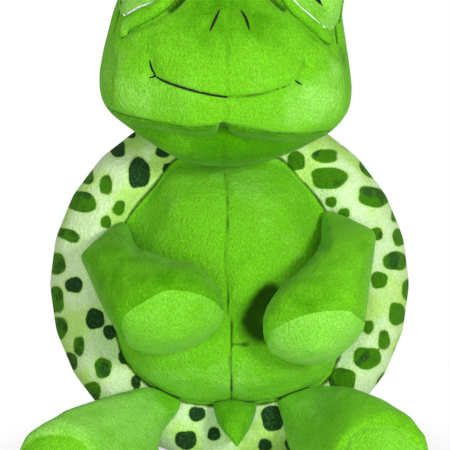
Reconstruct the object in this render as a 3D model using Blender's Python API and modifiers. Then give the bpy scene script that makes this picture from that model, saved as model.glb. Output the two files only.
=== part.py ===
"""Plush turtle, sitting: fabric covers over fibre stuffing, with a sewn head, shell, arms, legs and tail.

Metres, +Z up. The toy faces -Y, and +X is to the right of someone who looks at its face. The origin is on
the floor, under the middle of the shell's disc, where the shell rests.
"""

import math

import bmesh
import bpy
from mathutils import Matrix, Vector
from mathutils.bvhtree import BVHTree

# Fabric, and the air between sewn pieces
WALL = 0.0020
GAP = 0.0003
LAYER = 0.0008  # a felt or embroidered layer on an eye
REACH = 0.400  # side of the cutters that halve a piece
WELD = 0.00001  # points closer than this are one

# Shell and belly: a padded disc that leans back
SHELL_RADIUS = 0.100
SHELL_FLAT = 0.003  # how much of the disc is pressed flat on the floor
SHELL_LEAN = math.radians(4)
NECKLINE = 0.0870  # the disc's flat top over its centre
BELLY_DEPTH = 0.052  # how far the belly stands in front of the disc's middle plane
SEAM_DEPTH = 0.018
RING_DEPTH = 0.022
RIM_SETBACK = 0.004
BACK_DEPTH = 0.060
# The belly's outline from its top to its bottom, every 22.5 degrees, of the shell's reach there
BELLY_REACH_SHARES = (0.80, 0.78, 0.648, 0.616, 0.620, 0.672, 0.742, 0.700, 0.670)
BELLY_ROW_SHARES = ((0.40, 0.92), (0.76, 0.58), (1.0, 0.0))  # of the belly's reach, of its crown
RING_ROW_SHARES = ((0.42, 1.0), (0.84, 0.60))  # of the ring's breadth, of its depth
BACK_ROW_SHARES = ((0.93, 0.42), (0.72, 0.76), (0.40, 0.95))  # of the shell's radius, of the back's depth

# Head, in a frame of its own that is rolled a little to one side
HEAD_ASIDE = -0.003
HEAD_FORWARD = 0.016
HEAD_OVER_SHELL = 0.0060
HEAD_ROLL = math.radians(4)
HEAD_HALF_WIDTH = 0.068
HEAD_DROP = 0.0235  # the chin under the frame's origin
HEAD_RISE = 0.100
HEAD_FRONT = 0.071
HEAD_BACK = 0.056
HEAD_ROW_SHARES = (  # of the drop or of the rise, of the half width, of the front, of the back
    (-0.83, 0.37, 0.58, -0.32),
    (-0.51, 0.63, 0.72, -0.20),
    (-0.15, 0.81, 0.83, 0.07),
    (-0.05, 0.87, 0.89, 0.62),
    (0.08, 0.94, 0.945, 0.83),
    (0.22, 1.0, 1.0, 0.95),
    (0.38, 0.985, 0.985, 1.0),
    (0.55, 0.92, 0.89, 0.98),
    (0.71, 0.82, 0.72, 0.88),
    (0.85, 0.66, 0.49, 0.68),
    (0.95, 0.41, 0.24, 0.38),
)
HEAD_POLE_SHARES = (0.38, 0.05)  # how far forward the lowest and the highest point lie, of the front
HEAD_MIDDLE_SHARE = 0.46  # where a section is widest, from its front to its back
HEAD_SQUARENESS = 2.25
CHIN_SEAM_RISE = 0.0005
FACE_SEAM_FORWARD = 0.028
CHIN_BACK = 0.008  # the chin panel ends this far behind the frame's origin

# Neck: a stuffed plug that stands in a hole of the body and turns in a socket of the head
NECK_BACK = 0.007
NECK_RISE = 0.0205  # its ball's middle over the shell's top
NECK_BALL_RADIUS = 0.020
NECK_RADIUS = 0.011
NECK_LENGTH = 0.050  # from the ball's middle down
NECK_PLAY = 0.0009  # round the ball in the head's socket
NECK_SWING = 0.0055  # round the stem where it enters the head

# Arms. The spines are shares of the shell's radius from the disc's middle, and the radii of the arm's
ARM_RADIUS = 0.025
ARM_LEFT_SPINE_SHARES = (
    (-0.50, -0.04, 0.31),
    (-0.58, -0.24, 0.26),
    (-0.62, -0.40, 0.18),
    (-0.52, -0.55, 0.09),
    (-0.40, -0.67, 0.01),
    (-0.31, -0.77, -0.06),
)
ARM_RIGHT_SPINE_SHARES = (
    (0.49, -0.04, 0.34),
    (0.57, -0.24, 0.29),
    (0.61, -0.40, 0.21),
    (0.56, -0.55, 0.11),
    (0.48, -0.67, -0.01),
    (0.44, -0.76, -0.11),
)
ARM_RADIUS_SHARES = (0.46, 0.57, 0.77, 0.98, 1.13, 1.06)
ARM_LEFT_PAD_WAY = Vector((0.25, -0.72, -0.65))
ARM_RIGHT_PAD_WAY = Vector((-0.05, -0.74, -0.67))

# Legs. Across and forward are shares of the shell's radius, the height over the floor of the leg's radius
LEG_RADIUS = 0.0225
LEG_LEFT_SPINE_SHARES = (
    (-0.34, -0.02, 1.24),
    (-0.40, -0.24, 1.09),
    (-0.54, -0.50, 0.92),
    (-0.71, -0.76, 0.92),
    (-0.82, -0.95, 0.96),
    (-0.88, -1.03, 0.96),
)
LEG_RIGHT_SPINE_SHARES = (
    (0.34, -0.02, 1.24),
    (0.40, -0.24, 1.13),
    (0.53, -0.50, 0.96),
    (0.65, -0.76, 0.96),
    (0.73, -0.95, 0.98),
    (0.76, -1.04, 0.98),
)
LEG_RADIUS_SHARES = (0.54, 0.68, 0.84, 0.97, 1.04, 0.95)
LEG_LEFT_PAD_WAY = Vector((-0.35, -0.93, 0.02))
LEG_RIGHT_PAD_WAY = Vector((-0.05, -0.99, 0.10))

# The end of a limb, as shares of the limb's radius
PAD_CROWN_SHARE = 0.44
PAD_RADIUS_SHARE = 0.84
PALM_BEHIND_SHARE = 0.36
SOLE_BEHIND_SHARE = 0.45
ROOT_CROWN_SHARE = 0.35
END_TURN_SHARES = (0.35, 1.0)  # how far the last two sections turn the way that the pad faces

# Tail, as the arms
TAIL_RADIUS = 0.013
TAIL_SPINE_SHARES = ((0.01, -0.06, -0.64), (0.01, -0.24, -0.68), (0.02, -0.38, -0.72), (0.03, -0.48, -0.76))
TAIL_RADIUS_SHARES = (0.90, 1.0, 0.86, 0.56)
TAIL_WAY = Vector((0.10, -0.80, -0.55))
TAIL_CROWN_SHARE = 0.62

# Eyes, in the head's frame. The left eye is the right one's mirror image, but both look the same way
EYE_PLACE_SHARES = (0.58, -0.34, 0.80)  # of the head's half width, front and rise
EYE_FACING = Vector((0.38, -0.80, 0.46))
EYE_LONG_WAY = Vector((0.42, 0.0, -0.907))
EYE_LONG = 0.029
EYE_SHORT = 0.0185
EYE_DEPTH = 0.015
PUPIL_SHARE = 0.62  # of the eye, both ways
PUPIL_LOOK = 0.0050  # how far the pupils look to +X
HIGHLIGHT_SHARE = 0.30  # of the pupil
HIGHLIGHT_RISE_SHARE = 0.45
LOWER_LID_RADIUS = 0.0055
LOWER_LID_SPREAD = 0.0056  # the roll's middle line outside the eye's edge
LOWER_LID_SINK_SHARE = 0.35
LOWER_LID_TURN = math.radians(78)  # how far it reaches up on both sides
UPPER_LID_WALL = 0.0026
UPPER_LID_EDGE_SHARE = 0.40  # its edge over the eye's middle, of the eye's long radius

# Embroidery, as places across and over the origin of the head's frame
THREAD_RADIUS = 0.0006
PIPING_RADIUS = 0.0008
PIPING_SHARE = 0.87  # of the eye, both ways
PIPING_TURN = math.radians(95)
MOUTH_HALF_WIDTH = 0.036
MOUTH_RISE = 0.0150
MOUTH_CURVE = 0.0090  # its corners over its middle
STITCH_RISE = 0.0085
STITCH_DROP = 0.0040
STITCH_OUT_SHARE = 0.9  # sideways run of the lower stitch, of its drop
NOSTRIL_APART = 0.0080  # the upper ends from the middle
NOSTRIL_SPREAD = 0.0038
NOSTRIL_RISE = 0.0580
NOSTRIL_LENGTH = 0.0115

# Hinge lines of the seams that the limbs turn about, as shares of the shell's radius from the disc's middle
ARM_LEFT_HINGE_SHARES = (-0.56, -0.30, 0.45)
ARM_RIGHT_HINGE_SHARES = (0.55, -0.30, 0.48)
LEG_HINGE_SHARES = (0.38, -0.30, -0.52)
TAIL_HINGE_SHARES = (0.01, -0.34, -0.54)

# Counts
FINE = 2  # rings of a cover between two rows of its table
BODY_SEGMENTS = 24
LIMB_SEGMENTS = 14
TAIL_SEGMENTS = 12
EYE_ROWS = 3
THREAD_STEPS = 16
PIPING_STEPS = 24
LID_STEPS = 12
OUTLINE_POINTS = 40  # of the belly
ROUND_POINTS = 18  # of a pad, a pupil or a hole
NECK_STEPS = 7
NECK_SEGMENTS = 16

X = Vector((1, 0, 0))
Z = Vector((0, 0, 1))


def clear_scene():
    for obj in list(bpy.data.objects):
        bpy.data.objects.remove(obj, do_unlink=True)


def collection(name):
    made = bpy.data.collections.new(name)
    bpy.context.scene.collection.children.link(made)
    return made


def linear(code):
    """The linear colour of an sRGB hex code."""
    parts = [int(code[i : i + 2], 16) / 255 for i in (0, 2, 4)]
    return [c / 12.92 if c <= 0.04045 else ((c + 0.055) / 1.055) ** 2.4 for c in parts] + [1.0]


def material(name, code, roughness):
    made = bpy.data.materials.new(name)
    made.use_nodes = True
    shader = made.node_tree.nodes["Principled BSDF"]
    shader.inputs["Base Color"].default_value = linear(code)
    shader.inputs["Roughness"].default_value = roughness
    shader.inputs["Metallic"].default_value = 0.0
    return made


clear_scene()
PARTS = collection("plush_turtle")
CUTTERS = collection("cutters")
LIME = material("lime_plush", "6fc41f", 0.95)
PALE_LIME = material("pale_lime_plush", "84da40", 0.95)
SPOTTED = material("spotted_plush", "d2f2b9", 0.95)
EYE_GREEN = material("eye_satin", "8cd450", 0.6)
BLACK = material("black_embroidery", "0b0b14", 0.5)
WHITE = material("white_embroidery", "f2f4f0", 0.6)
STUFFING = material("polyester_fibre", "f4f4f0", 1.0)


def blend(values, place):
    """A smooth curve through the values, read at a place that is counted in values."""
    last = len(values) - 1
    at = min(int(place), last - 1)
    t = place - at
    start, end = values[at], values[at + 1]
    before = values[at - 1] if at > 0 else start * 2 - end
    after = values[at + 2] if at + 2 <= last else end * 2 - start
    slope_in, slope_out = (end - before) / 2, (after - start) / 2
    return (
        start * (2 * t**3 - 3 * t**2 + 1)
        + slope_in * (t**3 - 2 * t**2 + t)
        + end * (3 * t**2 - 2 * t**3)
        + slope_out * (t**3 - t**2)
    )


def add_to(group, name, data, coat=None):
    obj = bpy.data.objects.new(name, data)
    group.objects.link(obj)
    if coat:
        data.materials.append(coat)
    return obj


def as_cutter(obj):
    obj.hide_render = True
    obj.display_type = "WIRE"
    return obj


def cut(obj, cutter, operation="DIFFERENCE"):
    modifier = obj.modifiers.new(f"{operation.lower()} {cutter.name}", "BOOLEAN")
    modifier.operation = operation
    modifier.object = cutter
    modifier.solver = "EXACT"


def skin(name, group, point_at, rows, segments, inset, fine, coat=None):
    """A closed soft form: a sphere with its rings laid on point_at(place, angle), then moved in by the inset.

    Place runs from 0 at the first pole, through the rows of the form's table, to rows + 1 at the last pole.
    """
    bm = bmesh.new()
    stacks = (rows + 1) * fine
    bmesh.ops.create_uvsphere(bm, u_segments=segments, v_segments=stacks, radius=1)
    for vertex in bm.verts:
        polar = math.acos(max(-1, min(1, vertex.co.z)))
        place = round(polar / math.pi * stacks) / fine
        vertex.co = point_at(place, math.atan2(vertex.co.y, vertex.co.x))
    bmesh.ops.triangulate(bm, faces=bm.faces)
    bmesh.ops.recalc_face_normals(bm, faces=bm.faces)
    bm.normal_update()
    moves = [vertex.normal * (inset * vertex.calc_shell_factor()) for vertex in bm.verts]
    for vertex, move in zip(bm.verts, moves):
        vertex.co -= move
    mesh = bpy.data.meshes.new(name)
    bm.to_mesh(mesh)
    bm.free()
    mesh.shade_smooth()
    return add_to(group, name, mesh, coat)


def turned_to(origin, across, out):
    """A frame with z along out, x near across, at the origin."""
    z = out.normalized()
    x = (across - z * across.dot(z)).normalized()
    matrix = Matrix((x, z.cross(x), z)).transposed().to_4x4()
    matrix.translation = origin
    return matrix


def box_cutter(name, low, high, matrix=None):
    """A box from corner to corner, in the frame that the matrix gives."""
    bm = bmesh.new()
    size = Vector(high) - Vector(low)
    middle = (Vector(high) + Vector(low)) / 2
    place = Matrix.Translation(middle) @ Matrix.Diagonal((*size, 1))
    bmesh.ops.create_cube(bm, size=1, matrix=(matrix or Matrix()) @ place)
    mesh = bpy.data.meshes.new(name)
    bm.to_mesh(mesh)
    bm.free()
    return as_cutter(add_to(CUTTERS, name, mesh))


def mesh_of(drawn, name, group):
    """A curve object made a mesh object, with its caps welded. The curve is removed."""
    bpy.context.view_layer.update()
    graph = bpy.context.evaluated_depsgraph_get()
    mesh = bpy.data.meshes.new_from_object(drawn.evaluated_get(graph))
    bpy.data.objects.remove(drawn, do_unlink=True)
    bm = bmesh.new()
    bm.from_mesh(mesh)
    bmesh.ops.remove_doubles(bm, verts=bm.verts, dist=WELD)
    bmesh.ops.recalc_face_normals(bm, faces=bm.faces)
    bm.to_mesh(mesh)
    bm.free()
    mesh.name = name
    mesh.materials.clear()
    return add_to(group, name, mesh)


def prism_cutter(name, outline, behind, ahead, matrix):
    """A flat outline as a 2D curve, thickened from behind its plane to ahead of it, and made a mesh."""
    curve = bpy.data.curves.new(name, "CURVE")
    curve.dimensions = "2D"
    curve.fill_mode = "BOTH"
    curve.extrude = (behind + ahead) / 2
    spline = curve.splines.new("POLY")
    spline.points.add(len(outline) - 1)
    for point, (across, up) in zip(spline.points, outline):
        point.co = (across, up, 0, 1)
    spline.use_cyclic_u = True
    made = mesh_of(add_to(CUTTERS, name + "_curve", curve), name, CUTTERS)
    made.data.transform(matrix @ Matrix.Translation(Z * (ahead - behind) / 2))
    return as_cutter(made)


def tube(name, points, radii, coat):
    """A round thread or roll along the points, with filled ends."""
    curve = bpy.data.curves.new(name, "CURVE")
    curve.dimensions = "3D"
    curve.bevel_depth = 1
    curve.bevel_resolution = 1
    curve.use_fill_caps = True
    spline = curve.splines.new("POLY")
    spline.points.add(len(points) - 1)
    for point, place, radius in zip(spline.points, points, radii):
        point.co = (*place, 1)
        point.radius = radius
    made = mesh_of(add_to(PARTS, name + "_curve", curve), name, PARTS)
    made.data.materials.append(coat)
    made.data.shade_smooth()
    return made


def ellipse(across, up, grow=0.0):
    steps = [2 * math.pi * i / ROUND_POINTS for i in range(ROUND_POINTS)]
    return [((across + grow) * math.cos(a), (up + grow) * math.sin(a)) for a in steps]


FLOORS = {}


def rest_on_floor(obj, inset):
    """Cuts a form flat at the floor, or at the inner face of the fabric that lies on it."""
    if inset not in FLOORS:
        name = f"floor_{len(FLOORS)}"
        FLOORS[inset] = box_cutter(name, (-REACH, -REACH, -REACH), (REACH, REACH, inset))
    cut(obj, FLOORS[inset])


# The disc's frame: x across, y up along the leaning disc, z forward out of the belly
SHELL_HEIGHT = SHELL_RADIUS - SHELL_FLAT
DISC_FRONT = Vector((0, -math.cos(SHELL_LEAN), math.sin(SHELL_LEAN)))
DISC = turned_to(Vector((0, 0, SHELL_HEIGHT)), X, DISC_FRONT)


def belly_reach(angle):
    """The belly's outline, from the disc's middle. The angle is counted from the top."""
    steps = len(BELLY_REACH_SHARES) - 1
    mirrored = [BELLY_REACH_SHARES[1], *BELLY_REACH_SHARES, BELLY_REACH_SHARES[-2]]
    turned = abs((angle + math.pi) % (2 * math.pi) - math.pi) / math.pi
    return shell_reach(angle) * blend(mirrored, 1 + turned * steps)


def shell_reach(angle):
    """The shell's edge is round, with a flat top under the head."""
    rise = math.cos(angle)
    return min(SHELL_RADIUS, NECKLINE / rise) if rise > 0 else SHELL_RADIUS


def body_rows(angle):
    """(reach, depth) of each row, from the belly's middle over the rim to the back's middle."""
    inner, outer = belly_reach(angle), shell_reach(angle)
    rows = [Vector((0, BELLY_DEPTH))]
    for reach, crown in BELLY_ROW_SHARES:
        rows.append(Vector((inner * reach, SEAM_DEPTH + (BELLY_DEPTH - SEAM_DEPTH) * crown)))
    for breadth, depth in RING_ROW_SHARES:
        rows.append(Vector((inner + (outer - inner) * breadth, RING_DEPTH * depth)))
    rows.append(Vector((outer, -RIM_SETBACK)))
    for reach, depth in BACK_ROW_SHARES:
        rows.append(Vector((outer * reach, -BACK_DEPTH * depth)))
    rows.append(Vector((0, -BACK_DEPTH)))
    return rows


def body_point(place, angle):
    reach, depth = blend(body_rows(angle), place)
    return DISC @ Vector((math.sin(angle) * reach, math.cos(angle) * reach, depth))


def body_skin(name, group, inset, fine, coat=None):
    rows = len(body_rows(0)) - 2
    made = skin(name, group, body_point, rows, BODY_SEGMENTS, inset, fine, coat)
    rest_on_floor(made, max(inset, 0))
    return made


SHELL_TOP = SHELL_HEIGHT + shell_reach(0)
HEAD_ORIGIN = Vector((HEAD_ASIDE, -HEAD_FORWARD, SHELL_TOP + HEAD_OVER_SHELL))
HEAD = Matrix.Translation(HEAD_ORIGIN) @ Matrix.Rotation(HEAD_ROLL, 4, "Y")
NECK_PIVOT = Vector((0, NECK_BACK, SHELL_TOP + NECK_RISE))


def head_point(place, angle):
    poles = [-HEAD_FRONT * share for share in HEAD_POLE_SHARES]
    rows = [Vector((0, poles[0], poles[0], -HEAD_DROP))]
    for rise, width, front, back in HEAD_ROW_SHARES:
        height = rise * (HEAD_RISE if rise > 0 else HEAD_DROP)
        rows.append(Vector((HEAD_HALF_WIDTH * width, -HEAD_FRONT * front, HEAD_BACK * back, height)))
    rows.append(Vector((0, poles[1], poles[1], HEAD_RISE)))
    half, front, back, height = blend([row.copy() for row in rows], place)
    middle = front + (back - front) * HEAD_MIDDLE_SHARE
    c, s = math.cos(angle), math.sin(angle)
    power = 2 / HEAD_SQUARENESS
    across = math.copysign(abs(c) ** power, c) * half
    along = math.copysign(abs(s) ** power, s) * (back - middle if s > 0 else middle - front)
    return HEAD @ Vector((across, middle + along, height))


def head_skin(name, group, inset, fine, coat=None):
    rows = len(HEAD_ROW_SHARES)
    return skin(name, group, head_point, rows, BODY_SEGMENTS * fine // FINE, inset, fine, coat)


def make_body():
    """The belly in two halves, the spotted ring and back, and the stuffing, with a hole for the neck."""
    core = as_cutter(body_skin("body_core", CUTTERS, WALL, 1))
    hole_foot = Matrix.Translation(NECK_PIVOT - Z * NECK_LENGTH)
    reach = NECK_RADIUS + GAP
    hole = prism_cutter("neck_hole", ellipse(reach, reach), GAP, NECK_LENGTH, hole_foot)
    outline = [2 * math.pi * i / OUTLINE_POINTS for i in range(OUTLINE_POINTS)]
    edge = [(math.sin(a) * belly_reach(a), math.cos(a) * belly_reach(a)) for a in outline]
    wider = [(math.sin(a) * (belly_reach(a) + GAP), math.cos(a) * (belly_reach(a) + GAP)) for a in outline]
    belly = prism_cutter("belly_outline", edge, 0, REACH, DISC)
    belly_hole = prism_cutter("belly_hole", wider, 0, REACH, DISC)
    seam = -RIM_SETBACK
    ahead = box_cutter("rim_ahead", (-REACH, -REACH, seam + GAP / 2), (REACH, REACH, REACH), DISC)
    behind = box_cutter("rim_behind", (-REACH, -REACH, -REACH), (REACH, REACH, seam - GAP / 2), DISC)
    left = box_cutter("left_half", (-REACH, -REACH, 0), (-GAP / 2, REACH, REACH), DISC)
    right = box_cutter("right_half", (GAP / 2, -REACH, 0), (REACH, REACH, REACH), DISC)

    made = []
    for name, coat, keeps, drops in (
        ("belly_panel_left", LIME, (belly, left), ()),
        ("belly_panel_right", LIME, (belly, right), ()),
        ("shell_underside", SPOTTED, (ahead,), (belly_hole,)),
        ("shell_back", SPOTTED, (behind,), ()),
    ):
        piece = body_skin(name, PARTS, 0, FINE, coat)
        for cutter in (core, hole, *drops):
            cut(piece, cutter)
        for cutter in keeps:
            cut(piece, cutter, "INTERSECT")
        made.append(piece)
    stuffing = body_skin("body_stuffing", PARTS, WALL + GAP, 1, STUFFING)
    cut(stuffing, hole)
    return [*made, stuffing]


def make_neck():
    """A turned plug: a ball on a stem."""
    low = math.asin(NECK_RADIUS / NECK_BALL_RADIUS)
    turns = [(math.pi - low) * i / NECK_STEPS for i in range(NECK_STEPS + 1)]
    profile = [(NECK_BALL_RADIUS * math.sin(a), NECK_BALL_RADIUS * math.cos(a)) for a in turns]
    profile += [(NECK_RADIUS, -NECK_LENGTH), (0, -NECK_LENGTH)]
    mesh = bpy.data.meshes.new("neck_stuffing")
    bm = bmesh.new()
    points = [bm.verts.new((across, 0, up)) for across, up in profile]
    for a, b in zip(points, points[1:]):
        bm.edges.new((a, b))
    bm.to_mesh(mesh)
    bm.free()
    neck = add_to(PARTS, "neck_stuffing", mesh, STUFFING)
    neck.location = NECK_PIVOT
    screw = neck.modifiers.new("turn", "SCREW")
    screw.steps = screw.render_steps = NECK_SEGMENTS
    screw.use_merge_vertices = True
    screw.merge_threshold = WELD
    return neck


def make_head():
    """Two face panels, two chin panels, the back panel and the stuffing, with a socket for the neck."""
    core = as_cutter(head_skin("head_core", CUTTERS, WALL, 1))
    bm = bmesh.new()
    socket_radius = NECK_BALL_RADIUS + NECK_PLAY
    turns, rings = NECK_SEGMENTS, NECK_SEGMENTS // 2
    bmesh.ops.create_uvsphere(bm, u_segments=turns, v_segments=rings, radius=socket_radius)
    mesh = bpy.data.meshes.new("neck_socket")
    bm.to_mesh(mesh)
    bm.free()
    socket = as_cutter(add_to(CUTTERS, "neck_socket", mesh))
    socket.location = NECK_PIVOT
    reach = NECK_RADIUS + NECK_SWING
    room = prism_cutter("neck_room", ellipse(reach, reach), NECK_LENGTH, 0, Matrix.Translation(NECK_PIVOT))
    face, chin, chin_back = -FACE_SEAM_FORWARD, CHIN_SEAM_RISE, CHIN_BACK
    half = GAP / 2
    face_all = box_cutter("face_all", (-REACH, -REACH, chin - half), (REACH, face + half, REACH), HEAD)
    chin_all = box_cutter("chin_all", (-REACH, -REACH, -REACH), (REACH, chin_back + half, chin + half), HEAD)
    made = []
    for side, low, high in (("left", -REACH, -half), ("right", half, REACH)):
        for panel, back, bottom, top in (
            ("face", face - half, chin + half, REACH),
            ("chin", chin_back - half, -REACH, chin - half),
        ):
            box = box_cutter(f"{panel}_{side}", (low, -REACH, bottom), (high, back, top), HEAD)
            piece = head_skin(f"{panel}_panel_{side}", PARTS, 0, FINE, LIME)
            for cutter in (core, socket, room):
                cut(piece, cutter)
            cut(piece, box, "INTERSECT")
            made.append(piece)
    back = head_skin("head_back_panel", PARTS, 0, FINE, LIME)
    for cutter in (core, socket, room, face_all, chin_all):
        cut(back, cutter)
    stuffing = head_skin("head_stuffing", PARTS, WALL + GAP, 1, STUFFING)
    cut(stuffing, socket)
    cut(stuffing, room)
    return [*made, back, stuffing]


def limb_point_function(spine, radii, end_way, end_crown, root_crown):
    """The skin of a limb: round sections square to its spine, the last square to the way its end faces."""
    ways = []
    for index in range(len(spine)):
        before, after = spine[max(index - 1, 0)], spine[min(index + 1, len(spine) - 1)]
        ways.append((after - before).normalized())
    for index, share in zip((-2, -1), END_TURN_SHARES):
        ways[index] = ways[index].lerp(end_way.normalized(), share).normalized()
    centres = [spine[0] - ways[0] * root_crown, *spine, spine[-1] + ways[-1] * end_crown]
    sides = [way.cross(Z).normalized() for way in ways]
    ups = [side.cross(way) * radius for side, way, radius in zip(sides, ways, radii)]
    sides = [side * radius for side, radius in zip(sides, radii)]
    sides = [Vector((0, 0, 0)), *sides, Vector((0, 0, 0))]
    ups = [Vector((0, 0, 0)), *ups, Vector((0, 0, 0))]

    def point_at(place, angle):
        middle, side, up = blend(centres, place), blend(sides, place), blend(ups, place)
        return middle + side * math.cos(angle) + up * math.sin(angle)

    return point_at


def make_limb(name, pad_name, spine, radius, shares, pad_way, on_floor, body_clear):
    """A cover that is open at its root, its pad and its stuffing, all cut back from the body."""
    radii = [radius * share for share in shares]
    crowns = radius * PAD_CROWN_SHARE, radius * ROOT_CROWN_SHARE
    point_at = limb_point_function(spine, radii, pad_way, *crowns)

    def form(label, group, inset, fine, coat=None):
        rings = fine if on_floor else FINE  # the bent arms need the finer rings inside too
        segments = LIMB_SEGMENTS * fine // FINE
        made = skin(label, group, point_at, len(spine), segments, inset, rings, coat)
        if on_floor:
            rest_on_floor(made, max(inset, 0))
        return made

    core = as_cutter(form(name + "_core", CUTTERS, WALL, 1))
    place = turned_to(spine[-1], X, pad_way)
    reach = radius * PAD_RADIUS_SHARE
    behind = radius * (SOLE_BEHIND_SHARE if on_floor else PALM_BEHIND_SHARE)
    inner = prism_cutter(pad_name + "_edge", ellipse(reach, reach), behind, radius, place)
    outer = prism_cutter(pad_name + "_hole", ellipse(reach, reach, GAP), behind + GAP, radius + GAP, place)
    cover = form(name + "_cover", PARTS, 0, FINE, LIME)
    pad = form(pad_name, PARTS, 0, FINE, PALE_LIME)
    stuffing = form(name + "_stuffing", PARTS, WALL + GAP, 1, STUFFING)
    cut(cover, core)
    cut(cover, outer)
    cut(pad, core)
    cut(pad, inner, "INTERSECT")
    for piece in (cover, stuffing):
        cut(piece, body_clear)
    return [cover, pad, stuffing]


def make_tail(body_clear):
    spine = [DISC_MIDDLE + Vector(shares) * SHELL_RADIUS for shares in TAIL_SPINE_SHARES]
    radii = [TAIL_RADIUS * share for share in TAIL_RADIUS_SHARES]
    crowns = TAIL_RADIUS * TAIL_CROWN_SHARE, TAIL_RADIUS * ROOT_CROWN_SHARE
    point_at = limb_point_function(spine, radii, TAIL_WAY, *crowns)

    def form(label, group, inset, fine, coat=None):
        return skin(label, group, point_at, len(spine), TAIL_SEGMENTS * fine // FINE, inset, FINE, coat)

    core = as_cutter(form("tail_core", CUTTERS, WALL, 1))
    cover = form("tail_cover", PARTS, 0, FINE, LIME)
    stuffing = form("tail_stuffing", PARTS, WALL + GAP, 1, STUFFING)
    cut(cover, core)
    for piece in (cover, stuffing):
        cut(piece, body_clear)
    return [cover, stuffing]


DISC_MIDDLE = Vector((0, 0, SHELL_HEIGHT))


def mirrored(vector, side):
    return Vector((vector.x * side, vector.y, vector.z))


def eye_frame(side):
    """z out of the eye, x down its long way."""
    width, front, rise = EYE_PLACE_SHARES
    middle = Vector((HEAD_HALF_WIDTH * width * side, HEAD_FRONT * front, HEAD_RISE * rise))
    return HEAD @ turned_to(middle, mirrored(EYE_LONG_WAY, side), mirrored(EYE_FACING, side))


def surface_of(objects):
    """A tree of the objects' finished surfaces, for laying threads and rolls on them."""
    bpy.context.view_layer.update()
    graph = bpy.context.evaluated_depsgraph_get()
    points, faces = [], []
    for obj in objects:
        mesh = obj.evaluated_get(graph).to_mesh()
        first = len(points)
        points += [obj.matrix_world @ vertex.co for vertex in mesh.vertices]
        faces += [[first + index for index in polygon.vertices] for polygon in mesh.polygons]
    return BVHTree.FromPolygons(points, faces)


def laid(tree, points, way, lift):
    """The points dropped along the way onto the surface, and lifted off it."""
    made = []
    for point in points:
        place, normal, _, _ = tree.ray_cast(point, way)
        made.append(place + normal * lift)
    return made


def laid_near(tree, points, lift):
    """The points brought to the nearest place of the surface, and lifted off it."""
    found = [tree.find_nearest(point) for point in points]
    return [place + normal * lift for place, normal, _, _ in found]


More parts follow.
